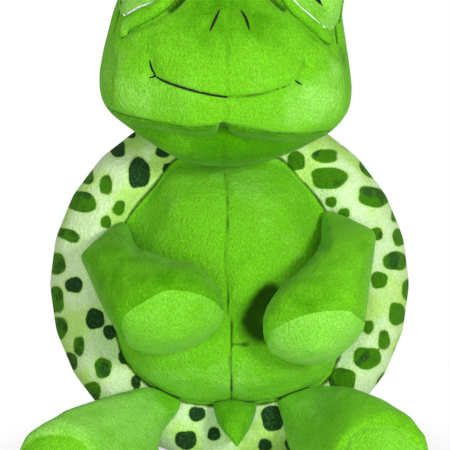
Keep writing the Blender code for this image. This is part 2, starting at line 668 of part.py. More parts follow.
def make_eye(label, side, head_clear, head_tree):
    """A stuffed dome with a pupil, a highlight, an upper lid, a lower lid roll and white piping."""
    space = eye_frame(side)

    def point_at(place, angle):
        polar = math.pi * place / (EYE_ROWS + 1)
        out = math.sin(polar)
        return space @ Vector(
            (EYE_LONG * out * math.cos(angle), EYE_SHORT * out * math.sin(angle), EYE_DEPTH * math.cos(polar))
        )

    def form(name, group, inset, fine=FINE, coat=None):
        return skin(name, group, point_at, EYE_ROWS, LIMB_SEGMENTS * fine // FINE, inset, fine, coat)

    core = as_cutter(form(f"eye_core_{label}", CUTTERS, WALL, 1))
    under_pupil = as_cutter(form(f"eye_under_pupil_{label}", CUTTERS, -GAP))
    under_highlight = as_cutter(form(f"eye_under_highlight_{label}", CUTTERS, -(2 * GAP + LAYER)))
    lid_height = 3 * GAP + 2 * LAYER
    under_lid = as_cutter(form(f"eye_under_lid_{label}", CUTTERS, -lid_height))
    dome = form(f"eye_dome_{label}", PARTS, 0, coat=EYE_GREEN)
    pupil = form(f"pupil_{label}", PARTS, -(GAP + LAYER), coat=BLACK)
    highlight = form(f"eye_highlight_{label}", PARTS, -2 * (GAP + LAYER), coat=WHITE)
    upper_lid = form(f"upper_eyelid_{label}", PARTS, -(lid_height + UPPER_LID_WALL), coat=LIME)
    stuffing = form(f"eye_stuffing_{label}", PARTS, WALL + GAP, 1, STUFFING)

    look = space.to_3x3().inverted() @ (X * PUPIL_LOOK)
    look.z = 0
    pupil_space = space @ Matrix.Translation(look)
    pupil_edge = ellipse(EYE_LONG * PUPIL_SHARE, EYE_SHORT * PUPIL_SHARE)
    pupil_outline = prism_cutter(f"pupil_outline_{label}", pupil_edge, 0, REACH, pupil_space)
    rise = -EYE_LONG * PUPIL_SHARE * HIGHLIGHT_RISE_SHARE
    dot = EYE_SHORT * PUPIL_SHARE * HIGHLIGHT_SHARE
    dot_space = pupil_space @ Matrix.Translation((rise, 0, 0))
    dot_outline = prism_cutter(f"highlight_outline_{label}", ellipse(dot, dot), 0, REACH, dot_space)
    lid_edge = -EYE_LONG * UPPER_LID_EDGE_SHARE
    above = box_cutter(f"above_eye_{label}", (-REACH, -REACH, -REACH), (lid_edge, REACH, REACH), space)

    cut(dome, core)
    cut(pupil, under_pupil)
    cut(pupil, pupil_outline, "INTERSECT")
    cut(highlight, under_highlight)
    cut(highlight, dot_outline, "INTERSECT")
    cut(upper_lid, under_lid)
    cut(upper_lid, above, "INTERSECT")
    for piece in (dome, pupil, highlight, upper_lid, stuffing):
        cut(piece, head_clear)

    out = space.to_3x3() @ Z

    def around(grow, share, turn, steps):
        angles = [turn * (2 * i / steps - 1) for i in range(steps + 1)]
        return [
            space
            @ Vector(((EYE_LONG * share + grow) * math.cos(a), (EYE_SHORT * share + grow) * math.sin(a), 0))
            for a in angles
        ]

    line = around(LOWER_LID_SPREAD, 1, LOWER_LID_TURN, LID_STEPS)
    middle = laid_near(head_tree, line, LOWER_LID_RADIUS * LOWER_LID_SINK_SHARE)
    swell = [math.sin(math.pi * (i + 1) / (LID_STEPS + 2)) for i in range(LID_STEPS + 1)]
    radii = [LOWER_LID_RADIUS * (1 + s) / 2 for s in swell]
    roll = tube(f"lower_eyelid_{label}", middle, radii, LIME)
    cut(roll, head_clear)
    cut(roll, under_pupil)
    line = [point + out * FACE_CLEAR for point in around(0, PIPING_SHARE, PIPING_TURN, PIPING_STEPS)]
    dropped = laid(surface_of([dome, head_clear]), line, -out, PIPING_RADIUS + 2 * GAP)
    piping = tube(f"eye_piping_{label}", dropped, [PIPING_RADIUS] * len(dropped), WHITE)
    return [dome, pupil, highlight, upper_lid, stuffing, roll, piping]


FACE_CLEAR = HEAD_FRONT + HEAD_BACK  # where what is laid on the face is dropped from


def make_embroidery(tree):
    forward = HEAD.to_3x3() @ Vector((0, 1, 0))
    made = []

    def stitch(name, places):
        line = [HEAD @ Vector((across, -FACE_CLEAR, up)) for across, up in places]
        dropped = laid(tree, line, forward, THREAD_RADIUS + 2 * GAP)
        made.append(tube(name, dropped, [THREAD_RADIUS] * len(dropped), BLACK))

    shares = [2 * i / THREAD_STEPS - 1 for i in range(1, THREAD_STEPS)]
    stitch("mouth_thread", [(MOUTH_HALF_WIDTH * s, MOUTH_RISE + MOUTH_CURVE * s * s) for s in shares])
    steps = [i / (THREAD_STEPS // 2) for i in range(THREAD_STEPS // 2 + 1)]
    for label, side in (("left", -1), ("right", 1)):
        corner = Vector((MOUTH_HALF_WIDTH * side, MOUTH_RISE + MOUTH_CURVE))
        top = corner + Vector((0, STITCH_RISE))
        foot = corner + Vector((side * STITCH_DROP * STITCH_OUT_SHARE, -STITCH_DROP))
        places = [top.lerp(corner, s) for s in steps] + [corner.lerp(foot, s) for s in steps[1:]]
        stitch(f"mouth_corner_{label}", places)
        first = Vector((NOSTRIL_APART * side, NOSTRIL_RISE))
        last = first + Vector((NOSTRIL_SPREAD * side, -NOSTRIL_LENGTH))
        stitch(f"nostril_thread_{label}", [first.lerp(last, s) for s in steps])
    return made


def axis_empty(name, place):
    empty = bpy.data.objects.new(name, None)
    empty.location = place
    PARTS.objects.link(empty)
    return empty


def hang_on(empty, pieces):
    """Parents the pieces to the joint's empty and leaves them where they are."""
    bpy.context.view_layer.update()
    for piece in pieces:
        piece.parent = empty
        piece.matrix_parent_inverse = empty.matrix_world.inverted()


def arm_spine(shares):
    return [DISC_MIDDLE + Vector(point) * SHELL_RADIUS for point in shares]


def leg_spine(shares):
    return [Vector((x * SHELL_RADIUS, y * SHELL_RADIUS, z * LEG_RADIUS)) for x, y, z in shares]


def main():
    body_clear = as_cutter(body_skin("body_clear", CUTTERS, -GAP, FINE))
    head_clear = as_cutter(head_skin("head_clear", CUTTERS, -GAP, FINE))
    make_body()
    neck = make_neck()
    head = make_head()
    head_tree = surface_of([head_clear])
    for label, side in (("left", -1), ("right", 1)):
        head += make_eye(label, side, head_clear, head_tree)
    head += make_embroidery(head_tree)
    turn = axis_empty("head_turn_axis", NECK_PIVOT)
    hang_on(turn, [neck, *head])

    left_arm, right_arm = arm_spine(ARM_LEFT_SPINE_SHARES), arm_spine(ARM_RIGHT_SPINE_SHARES)
    left_leg, right_leg = leg_spine(LEG_LEFT_SPINE_SHARES), leg_spine(LEG_RIGHT_SPINE_SHARES)
    limbs = (
        ("arm_left", "palm_pad_left", left_arm, ARM_LEFT_PAD_WAY, ARM_LEFT_HINGE_SHARES, 1),
        ("arm_right", "palm_pad_right", right_arm, ARM_RIGHT_PAD_WAY, ARM_RIGHT_HINGE_SHARES, 1),
        ("leg_left", "sole_left", left_leg, LEG_LEFT_PAD_WAY, LEG_HINGE_SHARES, -1),
        ("leg_right", "sole_right", right_leg, LEG_RIGHT_PAD_WAY, LEG_HINGE_SHARES, 1),
    )
    for name, pad_name, spine, pad_way, hinge, side in limbs:
        is_leg = name.startswith("leg")
        radius, shares = (LEG_RADIUS, LEG_RADIUS_SHARES) if is_leg else (ARM_RADIUS, ARM_RADIUS_SHARES)
        pieces = make_limb(name, pad_name, spine, radius, shares, pad_way, is_leg, body_clear)
        place = DISC_MIDDLE + mirrored(Vector(hinge) * SHELL_RADIUS, side)
        hang_on(axis_empty(name + "_axis", place), pieces)
    tail_place = DISC_MIDDLE + Vector(TAIL_HINGE_SHARES) * SHELL_RADIUS
    hang_on(axis_empty("tail_axis", tail_place), make_tail(body_clear))


main()
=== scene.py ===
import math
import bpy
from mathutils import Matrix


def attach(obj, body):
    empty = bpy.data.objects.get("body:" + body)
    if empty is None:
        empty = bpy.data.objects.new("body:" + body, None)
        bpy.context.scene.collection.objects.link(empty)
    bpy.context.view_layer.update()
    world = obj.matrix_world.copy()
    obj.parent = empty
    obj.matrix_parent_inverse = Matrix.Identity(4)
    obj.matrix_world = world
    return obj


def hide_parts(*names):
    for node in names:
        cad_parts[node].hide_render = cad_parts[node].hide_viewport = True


bl_info = {
    "name": "Plush Turtle",
    "version": (1, 0, 0),
    "blender": (4, 5, 0),
    "location": "3D View > Sidebar > Plush Turtle",
    "description": "Dresses the frame of a sitting plush turtle in short pile plush",
    "category": "Object",
}

from contextlib import contextmanager

import bmesh
import bpy
import numpy as np
from bpy.props import FloatProperty, FloatVectorProperty, PointerProperty
from mathutils import Matrix, Vector
from mathutils.bvhtree import BVHTree
from mathutils.geometry import convex_hull_2d
from mathutils.kdtree import KDTree

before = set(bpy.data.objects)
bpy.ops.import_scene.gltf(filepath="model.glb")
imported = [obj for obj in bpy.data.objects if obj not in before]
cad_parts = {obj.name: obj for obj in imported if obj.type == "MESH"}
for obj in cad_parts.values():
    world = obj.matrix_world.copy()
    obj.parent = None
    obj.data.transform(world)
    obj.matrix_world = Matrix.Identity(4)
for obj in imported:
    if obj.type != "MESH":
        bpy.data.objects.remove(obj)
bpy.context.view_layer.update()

# Places in the photograph are pixels of its 450 by 450 frame, from its top left corner
PHOTO_SIDE = 450
SENSOR = 0.036
LENS_PIXELS = 1818
CAMERA_AWAY = 1.0
CAMERA_RISE = math.radians(8)
CAMERA_TARGET = Vector((-0.0025, 0.0, 0.130))
CAMERA_BACK = Vector((0, -math.cos(CAMERA_RISE), math.sin(CAMERA_RISE)))
CAMERA_UP = Vector((0, math.sin(CAMERA_RISE), math.cos(CAMERA_RISE)))
CAMERA_PLACE = CAMERA_TARGET + CAMERA_BACK * CAMERA_AWAY

# The shell's disc and the head, as the CAD has them
DISC_MIDDLE = Vector((0, 0, 0.097))
DISC_LEAN = math.radians(4)
DISC_FRONT = Vector((0, -math.cos(DISC_LEAN), math.sin(DISC_LEAN)))
DISC_UP = Vector((0, math.sin(DISC_LEAN), math.cos(DISC_LEAN)))
RIM_SEAM = -0.004  # of the disc's middle plane
HEAD_ORIGIN = Vector((-0.003, -0.016, 0.190))
HEAD_ROLL = math.radians(4)
HEAD = Matrix.Translation(HEAD_ORIGIN) @ Matrix.Rotation(HEAD_ROLL, 4, "Y")

# Cloth and thread, in metres
WELD = 0.00001
SEAM_REACH = 0.0022
SEAM_DEPTH = 0.0016
THREAD = 0.0005
THREAD_END = 0.45  # how thin a thread gets, as a share
FAR = 0.4
PIXEL = 0.00055  # the side of a pixel of the photograph at the shell
EYE_VOXEL, LID_VOXEL, ROLL_VOXEL = 0.0009, 0.0012, 0.0009

X = Vector((1, 0, 0))
Y = Vector((0, 1, 0))
Z = Vector((0, 0, 1))


def linear(code):
    """The linear colour of an sRGB hex code."""
    parts = [int(code[i : i + 2], 16) / 255 for i in (0, 2, 4)]
    return tuple(c / 12.92 if c <= 0.04045 else ((c + 0.055) / 1.055) ** 2.4 for c in parts)


def colour(code, name, about):
    return FloatVectorProperty(name=name, description=about, subtype="COLOR", default=linear(code), min=0, max=1)


def length(value, name, about):
    return FloatProperty(name=name, description=about, subtype="DISTANCE", unit="LENGTH", default=value, min=0)


class TurtleSizes(bpy.types.PropertyGroup):
    """The lengths that a user would change."""

    body_voxel: length(0.0018, "Body voxel", "Mesh size of the shell and belly")
    head_voxel: length(0.0013, "Head voxel", "Mesh size of the head")
    limb_voxel: length(0.0013, "Limb voxel", "Mesh size of the arms, legs and tail")
    seam_depth: length(SEAM_DEPTH, "Seam depth", "How far a sewn seam pulls the plush in")
    pile_grain: length(0.0006, "Pile grain", "Width of one lock of the pile, drawn as coarse as it shows")
    nap_patch: length(0.009, "Nap patch", "Width of a patch where the pile lies one way")


class TurtleColours(bpy.types.PropertyGroup):
    """The colours of the cloths and threads."""

    # The shade and tip colours of a plush are also where the pile strokes paint shade and light
    lime: colour("6dc11d", "Lime", "Plush of the head, belly, arms, legs and tail")
    lime_deep: colour("438f01", "Lime shade", "The roots of the lime pile")
    lime_tip: colour("92d95a", "Lime tips", "Lime pile that lies towards the light")
    pad: colour("7ed23c", "Pads", "Plush of the palms and soles")
    pad_tip: colour("9fe364", "Pad tips", "Pile of the pads that lies towards the light")
    # Painted shade in seams, creases and gaps between parts, and the dark base of the pile where it parts
    roots: colour("123004", "Roots", "The dark roots that show where the pile parts")
    shell: colour("d2efb6", "Shell", "Ground of the spotted plush")
    shell_deep: colour("a9cf87", "Shell shade", "The roots of the spotted plush")
    shell_tip: colour("eefbe0", "Shell tips", "Spotted plush that lies towards the light")
    shell_blotch: colour("b6e56a", "Shell blotches", "Yellow green dye that has spread in the ground")
    spot: colour("3f7d0c", "Spots", "Green of most spots")
    spot_tip: colour("6fa52f", "Spot tips", "Dyed pile that lies towards the light")
    spot_dark: colour("1d3f20", "Dark spots", "Green of the darkest spots")
    eye: colour("8ed752", "Eye", "Velour of the eye")
    eye_tip: colour("a5e673", "Eye tips", "Pile of the eye that lies towards the light")
    pupil: colour("070814", "Pupil", "Satin stitch of the pupil")
    white: colour("dcf2e0", "White thread", "Thread under the eye")
    black: colour("10140c", "Black thread", "Thread of the mouth and nostrils")


# Mesh tools

OUTLINE_STEPS = 180
OUTLINE_RELAX, OUTLINE_BLEND = 60, 3


def deselect():
    bpy.ops.object.select_all(action="DESELECT")


def linked(name, mesh):
    made = bpy.data.objects.new(name, mesh)
    bpy.context.scene.collection.objects.link(made)
    return made


def pick(piece):
    deselect()
    piece.select_set(True)
    bpy.context.view_layer.objects.active = piece


def modified(piece, kind, **settings):
    """Adds a modifier and applies it."""
    pick(piece)
    modifier = piece.modifiers.new(kind.lower(), kind)
    for key, value in settings.items():
        setattr(modifier, key, value)
    bpy.ops.object.modifier_apply(modifier=modifier.name)
    return piece


def numbers(items, name):
    values = np.empty(len(items) * 3)
    items.foreach_get(name, values)
    return values.reshape(-1, 3)


def points_of(piece):
    return numbers(piece.data.vertices, "co")


def normals_of(piece):
    return numbers(piece.data.vertex_normals, "vector")


def move_points(piece, points):
    piece.data.vertices.foreach_set("co", np.ascontiguousarray(points).ravel())
    piece.data.update()


@contextmanager
def editing(piece, write=True):
    """The mesh of a piece for bmesh tools, written back at the end."""
    bm = bmesh.new()
    bm.from_mesh(piece.data)
    yield bm
    if write:
        bm.to_mesh(piece.data)
    bm.free()


def keep_largest(piece):
    """Deletes the bubbles that a remesh leaves inside a form."""
    with editing(piece) as bm:
        left = set(bm.verts)
        groups = []
        while left:
            stack = [left.pop()]
            group = [stack[0]]
            while stack:
                for edge in stack.pop().link_edges:
                    for vertex in left.intersection(edge.verts):
                        left.remove(vertex)
                        group.append(vertex)
                        stack.append(vertex)
            groups.append(group)
        for group in sorted(groups, key=len)[:-1]:
            bmesh.ops.delete(bm, geom=group, context="VERTS")
    return piece


def volume_and_area(piece):
    with editing(piece, write=False) as bm:
        return bm.calc_volume(), sum(face.calc_area() for face in bm.faces)


def soft_form(label, nodes, voxel, rounds):
    """One closed, rounded form around copies of CAD nodes or of pieces, as full as they are."""
    bm = bmesh.new()
    for name in nodes:
        bm.from_mesh(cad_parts[name].data if isinstance(name, str) else name.data)
    bmesh.ops.remove_doubles(bm, verts=bm.verts, dist=WELD)
    mesh = bpy.data.meshes.new(label)
    bm.to_mesh(mesh)
    bm.free()
    piece = linked(label, mesh)
    modified(piece, "REMESH", mode="VOXEL", voxel_size=voxel)
    keep_largest(piece)
    full, _ = volume_and_area(piece)
    modified(piece, "SMOOTH", factor=0.5, iterations=rounds)
    left, area = volume_and_area(piece)
    move_points(piece, points_of(piece) + normals_of(piece) * ((full - left) / area))
    return piece


def smooth_curve(points, closed, steps):
    """A Catmull-Rom curve through the points, with so many steps between two of them."""
    points = [Vector(p) for p in points]
    if closed:
        points = [points[-1], *points, *points[:2]]
    else:
        points = [points[0] * 2 - points[1], *points, points[-1] * 2 - points[-2]]
    made = []
    for p0, p1, p2, p3 in zip(points, points[1:], points[2:], points[3:]):
        for t in (step / steps for step in range(steps)):
            leave, arrive = t**3 - 2 * t**2 + t, t**3 - t**2
            made.append(p1.lerp(p2, 3 * t**2 - 2 * t**3) + (p2 - p0) / 2 * leave + (p3 - p1) / 2 * arrive)
    return made if closed else [*made, points[-2]]


def smooth_pixels(pixels, steps=8, closed=False):
    return [(p.x, p.y) for p in smooth_curve([(*p, 0) for p in pixels], closed, steps)]


def tree_of(*pieces):
    points, faces = [], []
    for piece in pieces:
        first = len(points)
        points += [vertex.co.copy() for vertex in piece.data.vertices]
        faces += [[first + index for index in face.vertices] for face in piece.data.polygons]
    return BVHTree.FromPolygons(points, faces)


def sight(across, down):
    """The way from the camera through a pixel of the photograph."""
    half = PHOTO_SIDE / 2
    return (-CAMERA_BACK * LENS_PIXELS + X * (across - half) + CAMERA_UP * (half - down)).normalized()


def seen_at(tree, pixels, lift=0.0):
    """The places of a surface that are seen at pixels, or nearest to them where the pixel looks past it."""
    made = []
    reach = CAMERA_AWAY
    for across, down in pixels:
        way = sight(across, down)
        place, normal, _, distance = tree.ray_cast(CAMERA_PLACE, way)
        if place is None:
            place, normal, _, _ = tree.find_nearest(CAMERA_PLACE + way * reach)
        else:
            reach = distance
        made.append(place + normal * lift)
    return made


def level_with(tree, pixels, bends, slack):
    """As seen_at, but in an even line: of so many bends, and with no place much farther away than most."""
    far = np.array([(place - CAMERA_PLACE).length for place in seen_at(tree, pixels)])
    far = np.minimum(far, np.median(far) + slack)
    steps = np.linspace(-1, 1, len(far))
    far = np.polyval(np.polyfit(steps, far, min(bends, len(far) - 1)), steps)
    return [tree.find_nearest(CAMERA_PLACE + sight(*pixel) * reach)[0] for pixel, reach in zip(pixels, far.tolist())]


def camera_view(points):
    """Where points in space are seen, in pixels across and down, and how wide a pixel is there."""
    rays = points - np.array(CAMERA_PLACE)
    pixel = rays @ np.array(-CAMERA_BACK) / LENS_PIXELS
    return PHOTO_SIDE / 2 + rays[:, 0] / pixel, PHOTO_SIDE / 2 - rays @ np.array(CAMERA_UP) / pixel, pixel


def nearest(points, path):
    """The place of a path that is nearest to each point, and how far away it is."""
    tree = KDTree(len(path))
    for index, place in enumerate(path):
        tree.insert(place, index)
    tree.balance()
    places, _, away = zip(*(tree.find(point) for point in points))
    return np.array(places), np.array(away)


def dense(path, spacing=0.0007):
    """The path with more points, so that none is far from the next."""
    made = []
    for a, b in zip(path, path[1:]):
        count = max(1, math.ceil((b - a).length / spacing))
        made += [a.lerp(b, i / count) for i in range(count)]
    return [*made, path[-1]]


def nearness(away, reach):
    """From 1 at no distance down to 0 far away."""
    return np.exp(-((away / reach) ** 2))


def field(piece, name, values, mix=np.maximum):
    """A number for each point of the mesh, that its material reads."""
    found = piece.data.attributes.get(name)
    values = np.asarray(values, np.float32)
    if found:
        old = np.empty(len(values), np.float32)
        found.data.foreach_get("value", old)
        values = mix(old, values)
    else:
        found = piece.data.attributes.new(name, "FLOAT", "POINT")
    found.data.foreach_set("value", values)


def press(piece, path, depth, reach, mark):
    """Pulls the surface in along a path, as a seam or a crease does, and paints shade along it, as on tucked cloth."""
    points = points_of(piece)
    near = nearness(nearest(points, dense(path))[1], reach)
    move_points(piece, points - normals_of(piece) * (near * depth)[:, None])
    if mark:
        field(piece, "tuck", near * mark)


def tuck(piece, path, reach, mark):
    """Paints shade along a path, as where cloth is tucked into a seam or a crease. A cut makes points without marks,
    so cut pieces are marked after it.
    """
    field(piece, "tuck", nearness(nearest(points_of(piece), dense(path))[1], reach) * mark)


def shade_where_pressed(piece, tree, reach, mark):
    """Paints shade on the cloth of a piece where it presses on its neighbour, as in the dark gap between two parts."""
    away = np.array([tree.find_nearest(Vector(point))[3] for point in points_of(piece)])
    field(piece, "tuck", nearness(away, reach) * mark)


def step(piece, path, side, way, rise, drop, reach):
    """Raises the surface on one side of a path and lowers it on the other, so that one panel bulges past the next."""
    points = points_of(piece)
    places, away = nearest(points, dense(path))
    over = np.tanh((points - places) @ np.array(side) / SEAM_REACH)
    share = nearness(away, reach) * np.where(over > 0, rise * over, drop * over)
    move_points(piece, points + share[:, None] * np.array(way))


def swell(piece, place, rise, reach):
    """Moves the surface near a place along its own normals."""
    points = points_of(piece)
    away = np.clip(np.linalg.norm(points - np.array(place), axis=1) / reach, 0, 1)
    share = np.cos(away * math.pi / 2) ** 2
    move_points(piece, points + normals_of(piece) * (share * rise)[:, None])


def shift_seen(piece, points, right, drop, pixel):
    """Moves the points of a mesh so many pixels to the right and down, as they are seen."""
    points = points + (right * pixel)[:, None] * np.array(X) - (drop * pixel)[:, None] * np.array(CAMERA_UP)
    move_points(piece, points)
    return piece


def drag(piece, x, y, reach, right, drop):
    """Draws a form out or in around a pixel, so many pixels to the right and down."""
    points = points_of(piece)
    across, down, pixel = camera_view(points)
    near = nearness(np.hypot(across - x, down - y), reach)
    return shift_seen(piece, points, near * right, near * drop, pixel)


def crossings(place, outline, angles):
    """How far an outline of pixels lies from a place, at each angle, and 0 where the outline doesn't reach."""
    far = np.zeros(len(angles))
    for start, end in zip(outline, outline[1:]):
        a, b = np.subtract(start, place), np.subtract(end, place)
        slant = np.cos(angles) * (b - a)[1] - np.sin(angles) * (b - a)[0]
        slant = np.where(np.abs(slant) < 1e-9, 1e-9, slant)
        reach = (a[0] * b[1] - a[1] * b[0]) / slant
        share = (a[0] * np.sin(angles) - a[1] * np.cos(angles)) / slant
        far = np.where((reach > 0) & (share >= -0.001) & (share <= 1.001), np.maximum(far, reach), far)
    return far


def fit_outline(piece, place, outline):
    """Stretches a form around a place in the picture until its outline is seen where the given one is."""
    points = points_of(piece)
    across, down, pixel = camera_view(points)
    across, down = across - place[0], down - place[1]
    angle, away = np.arctan2(down, across), np.hypot(across, down)
    turns = (angle / (2 * math.pi) + 0.5) * OUTLINE_STEPS
    own = np.zeros(OUTLINE_STEPS)
    np.maximum.at(own, turns.astype(int) % OUTLINE_STEPS, away)
    angles = ((np.arange(OUTLINE_STEPS) + 0.5) / OUTLINE_STEPS - 0.5) * 2 * math.pi
    wanted = crossings(place, outline, angles)
    share = np.where(wanted > 0, wanted / np.maximum(own, 1), 1.0)
    for turn in range(OUTLINE_RELAX + OUTLINE_BLEND):  # first only where the outline isn't given, then everywhere
        even = (np.roll(share, 1) + share * 2 + np.roll(share, -1)) / 4
        share = np.where((wanted > 0) & (turn < OUTLINE_RELAX), share, even)
    share, limit = (
        np.interp(turns - 0.5, np.arange(-1, OUTLINE_STEPS + 1), np.pad(values, 1, "wrap")) for values in (share, own)
    )
    grow = (share - 1) * np.clip(away / limit, 0, 1) ** 1.5
    return shift_seen(piece, points, across * grow, down * grow, pixel)


def lay_and_shade_panel(piece, outline, amount):
    """Lays the pile of one panel, seen inside an outline of pixels, another way than that of its neighbours, which
    paints the panel lighter or darker as painted light and shade.
    """
    points = points_of(piece)
    across, down, _ = camera_view(points)
    within = np.zeros(len(points), bool)
    for (x1, y1), (x2, y2) in zip(outline, [*outline[1:], outline[0]]):
        if y1 != y2:
            at = x1 + (x2 - x1) * (down - y1) / (y2 - y1)
            within ^= ((y1 > down) != (y2 > down)) & (across < at)
    facing = np.einsum("ij,ij->i", normals_of(piece), np.array(CAMERA_PLACE) - points) > 0
    field(piece, "nap", np.where(within & facing, amount, 0.0), mix=lambda old, new: np.clip(old + new, -1, 1))


def brush_nap_and_shade(piece, strokes, rest=0.0):
    """Lays the pile another way around places that are seen at pixels, which paints light and shade: darker below
    zero, lighter above it.
    """
    points = points_of(piece)
    total = np.full(len(points), rest)
    tree = tree_of(piece)
    for across, down, reach, amount in strokes:
        place = seen_at(tree, [(across, down)])[0]
        total += amount * nearness(np.linalg.norm(points - np.array(place), axis=1), reach * PIXEL)
    field(piece, "nap", np.clip(total, -1, 1))


def prism(name, outline, way, low, high):
    """A closed outline in space, drawn out along a way from low to high, as a cutter."""
    bm = bmesh.new()
    bottom = [bm.verts.new(point + way * low) for point in outline]
    top = [bm.verts.new(point + way * high) for point in outline]
    bm.faces.new(bottom)
    bm.faces.new(list(reversed(top)))
    for index, vertex in enumerate(bottom):
        other = (index + 1) % len(bottom)
        bm.faces.new((vertex, top[index], top[other], bottom[other]))
    bmesh.ops.recalc_face_normals(bm, faces=bm.faces)
    mesh = bpy.data.meshes.new(name)
    bm.to_mesh(mesh)
    bm.free()
    return linked(name, mesh)


def copied(piece, label):
    made = piece.copy()
    made.data = piece.data.copy()
    made.name = made.data.name = label
    bpy.context.scene.collection.objects.link(made)
    return made


def cut(piece, cutter, operation):
    return modified(piece, "BOOLEAN", object=cutter, operation=operation, solver="EXACT")


def remove(*pieces):
    for piece in pieces:
        bpy.data.objects.remove(piece, do_unlink=True)


def halved(piece, place, keep_way):
    """Keeps the side of a plane that keep_way points to, and closes the cut."""
    with editing(piece) as bm:
        geometry = [*bm.verts, *bm.edges, *bm.faces]
        result = bmesh.ops.bisect_plane(bm, geom=geometry, plane_co=place, plane_no=keep_way, clear_inner=True)
        edges = [item for item in result["geom_cut"] if isinstance(item, bmesh.types.BMEdge)]
        bmesh.ops.holes_fill(bm, edges=edges, sides=0)


def tube(name, path, radii, rounds):
    """A closed tube along a path, as a mesh, with a radius at each point."""
    curve = bpy.data.curves.new(name, "CURVE")
    curve.dimensions = "3D"
    curve.bevel_depth = 1
    curve.bevel_resolution = rounds
    curve.use_fill_caps = True
    spline = curve.splines.new("POLY")
    spline.points.add(len(path) - 1)
    for point, place, radius in zip(spline.points, path, radii):
        point.co = (*place, 1)
        point.radius = radius
    pick(linked(name, curve))
    bpy.ops.object.convert(target="MESH")
    return bpy.context.view_layer.objects.active


def thread(name, path, radius, coat, replaced):
    """A round sewing thread on the head, thinner at its ends."""
    ends = [min(index, len(path) - 1 - index) for index in range(len(path))]
    piece = tube(name, path, [radius * (THREAD_END + (1 - THREAD_END) * min(1, end / 3)) for end in ends], 2)
    return finished(piece, "head", coat, (replaced,))


def padded_roll(name, path, radii):
    """A soft roll along a path, of one closed skin."""
    piece = modified(tube(name, path, radii, 4), "REMESH", mode="VOXEL", voxel_size=ROLL_VOXEL)
    return modified(keep_largest(piece), "SMOOTH", factor=0.5, iterations=8)


def finished(piece, body, coat, nodes):
    """Gives a piece its material and its body, and hides the CAD nodes that it stands for."""
    piece.data.materials.clear()
    piece.data.materials.append(coat)
    piece.data.shade_smooth()
    piece.data.set_sharp_from_angle(angle=math.radians(50))
    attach(piece, body)
    if nodes:
        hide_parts(*nodes)
    return piece


# Materials

PILE_SLANT = math.radians(-35)  # the way the locks of the pile are drawn out, seen from the front
PILE_STRETCH = (1, 1, 0.5)


def node(tree, kind, settings=None, inputs=None):
    """Adds a node. An input is a number, a colour or another node's socket."""
    made = tree.nodes.new(kind)
    for key, value in (settings or {}).items():
        setattr(made, key, value)
    for key, value in (inputs or {}).items():
        if isinstance(value, bpy.types.NodeSocket):
            tree.links.new(value, made.inputs[key])
        else:
            made.inputs[key].default_value = value
    return made


def solid(value):
    return (*value, 1.0)


def new_material(name):
    made = bpy.data.materials.get(name) or bpy.data.materials.new(name)
    made.use_nodes = True
    made.node_tree.nodes.clear()
    return made, made.node_tree


def mixed(tree, factor, a, b, blend="MIX"):
    return node(tree, "ShaderNodeMix", {"data_type": "RGBA", "blend_type": blend}, {0: factor, 6: a, 7: b}).outputs[2]


def worked(tree, operation, *values):
    return node(tree, "ShaderNodeMath", {"operation": operation}, dict(enumerate(values))).outputs[0]


def weighted(tree, total, *parts):
    """The sum of a first value and of others, each times its weight."""
    for value, weight in parts:
        total = worked(tree, "MULTIPLY_ADD", value, weight, total)
    return total


def ramped(tree, value, low, high, bottom=0.0, top=1.0):
    inputs = {"Value": value, "From Min": low, "From Max": high, "To Min": bottom, "To Max": top}
    return node(tree, "ShaderNodeMapRange", {"interpolation_type": "SMOOTHSTEP"}, inputs).outputs[0]


def place_in(tree):
    return node(tree, "ShaderNodeTexCoord").outputs["Object"]


def attribute(tree, name):
    return node(tree, "ShaderNodeAttribute", {"attribute_name": name}).outputs["Fac"]


def noise(tree, vector, width, detail):
    inputs = {"Vector": vector, "Scale": 1 / width, "Detail": detail}
    return node(tree, "ShaderNodeTexNoise", inputs=inputs).outputs["Fac"]


def surfaced(tree, cloth, roughness, specular, height, strength, distance, **more):
    """Ends a material in its shader, with a bump of so many metres."""
    bump = node(tree, "ShaderNodeBump", inputs={"Height": height, "Strength": strength, "Distance": distance})
    inputs = {"Base Color": cloth, "Roughness": roughness, "Specular IOR Level": specular, "Normal": bump.outputs[0]}
    shader = node(tree, "ShaderNodeBsdfPrincipled", inputs={**inputs, **more})
    node(tree, "ShaderNodeOutputMaterial", inputs={"Surface": shader.outputs[0]})


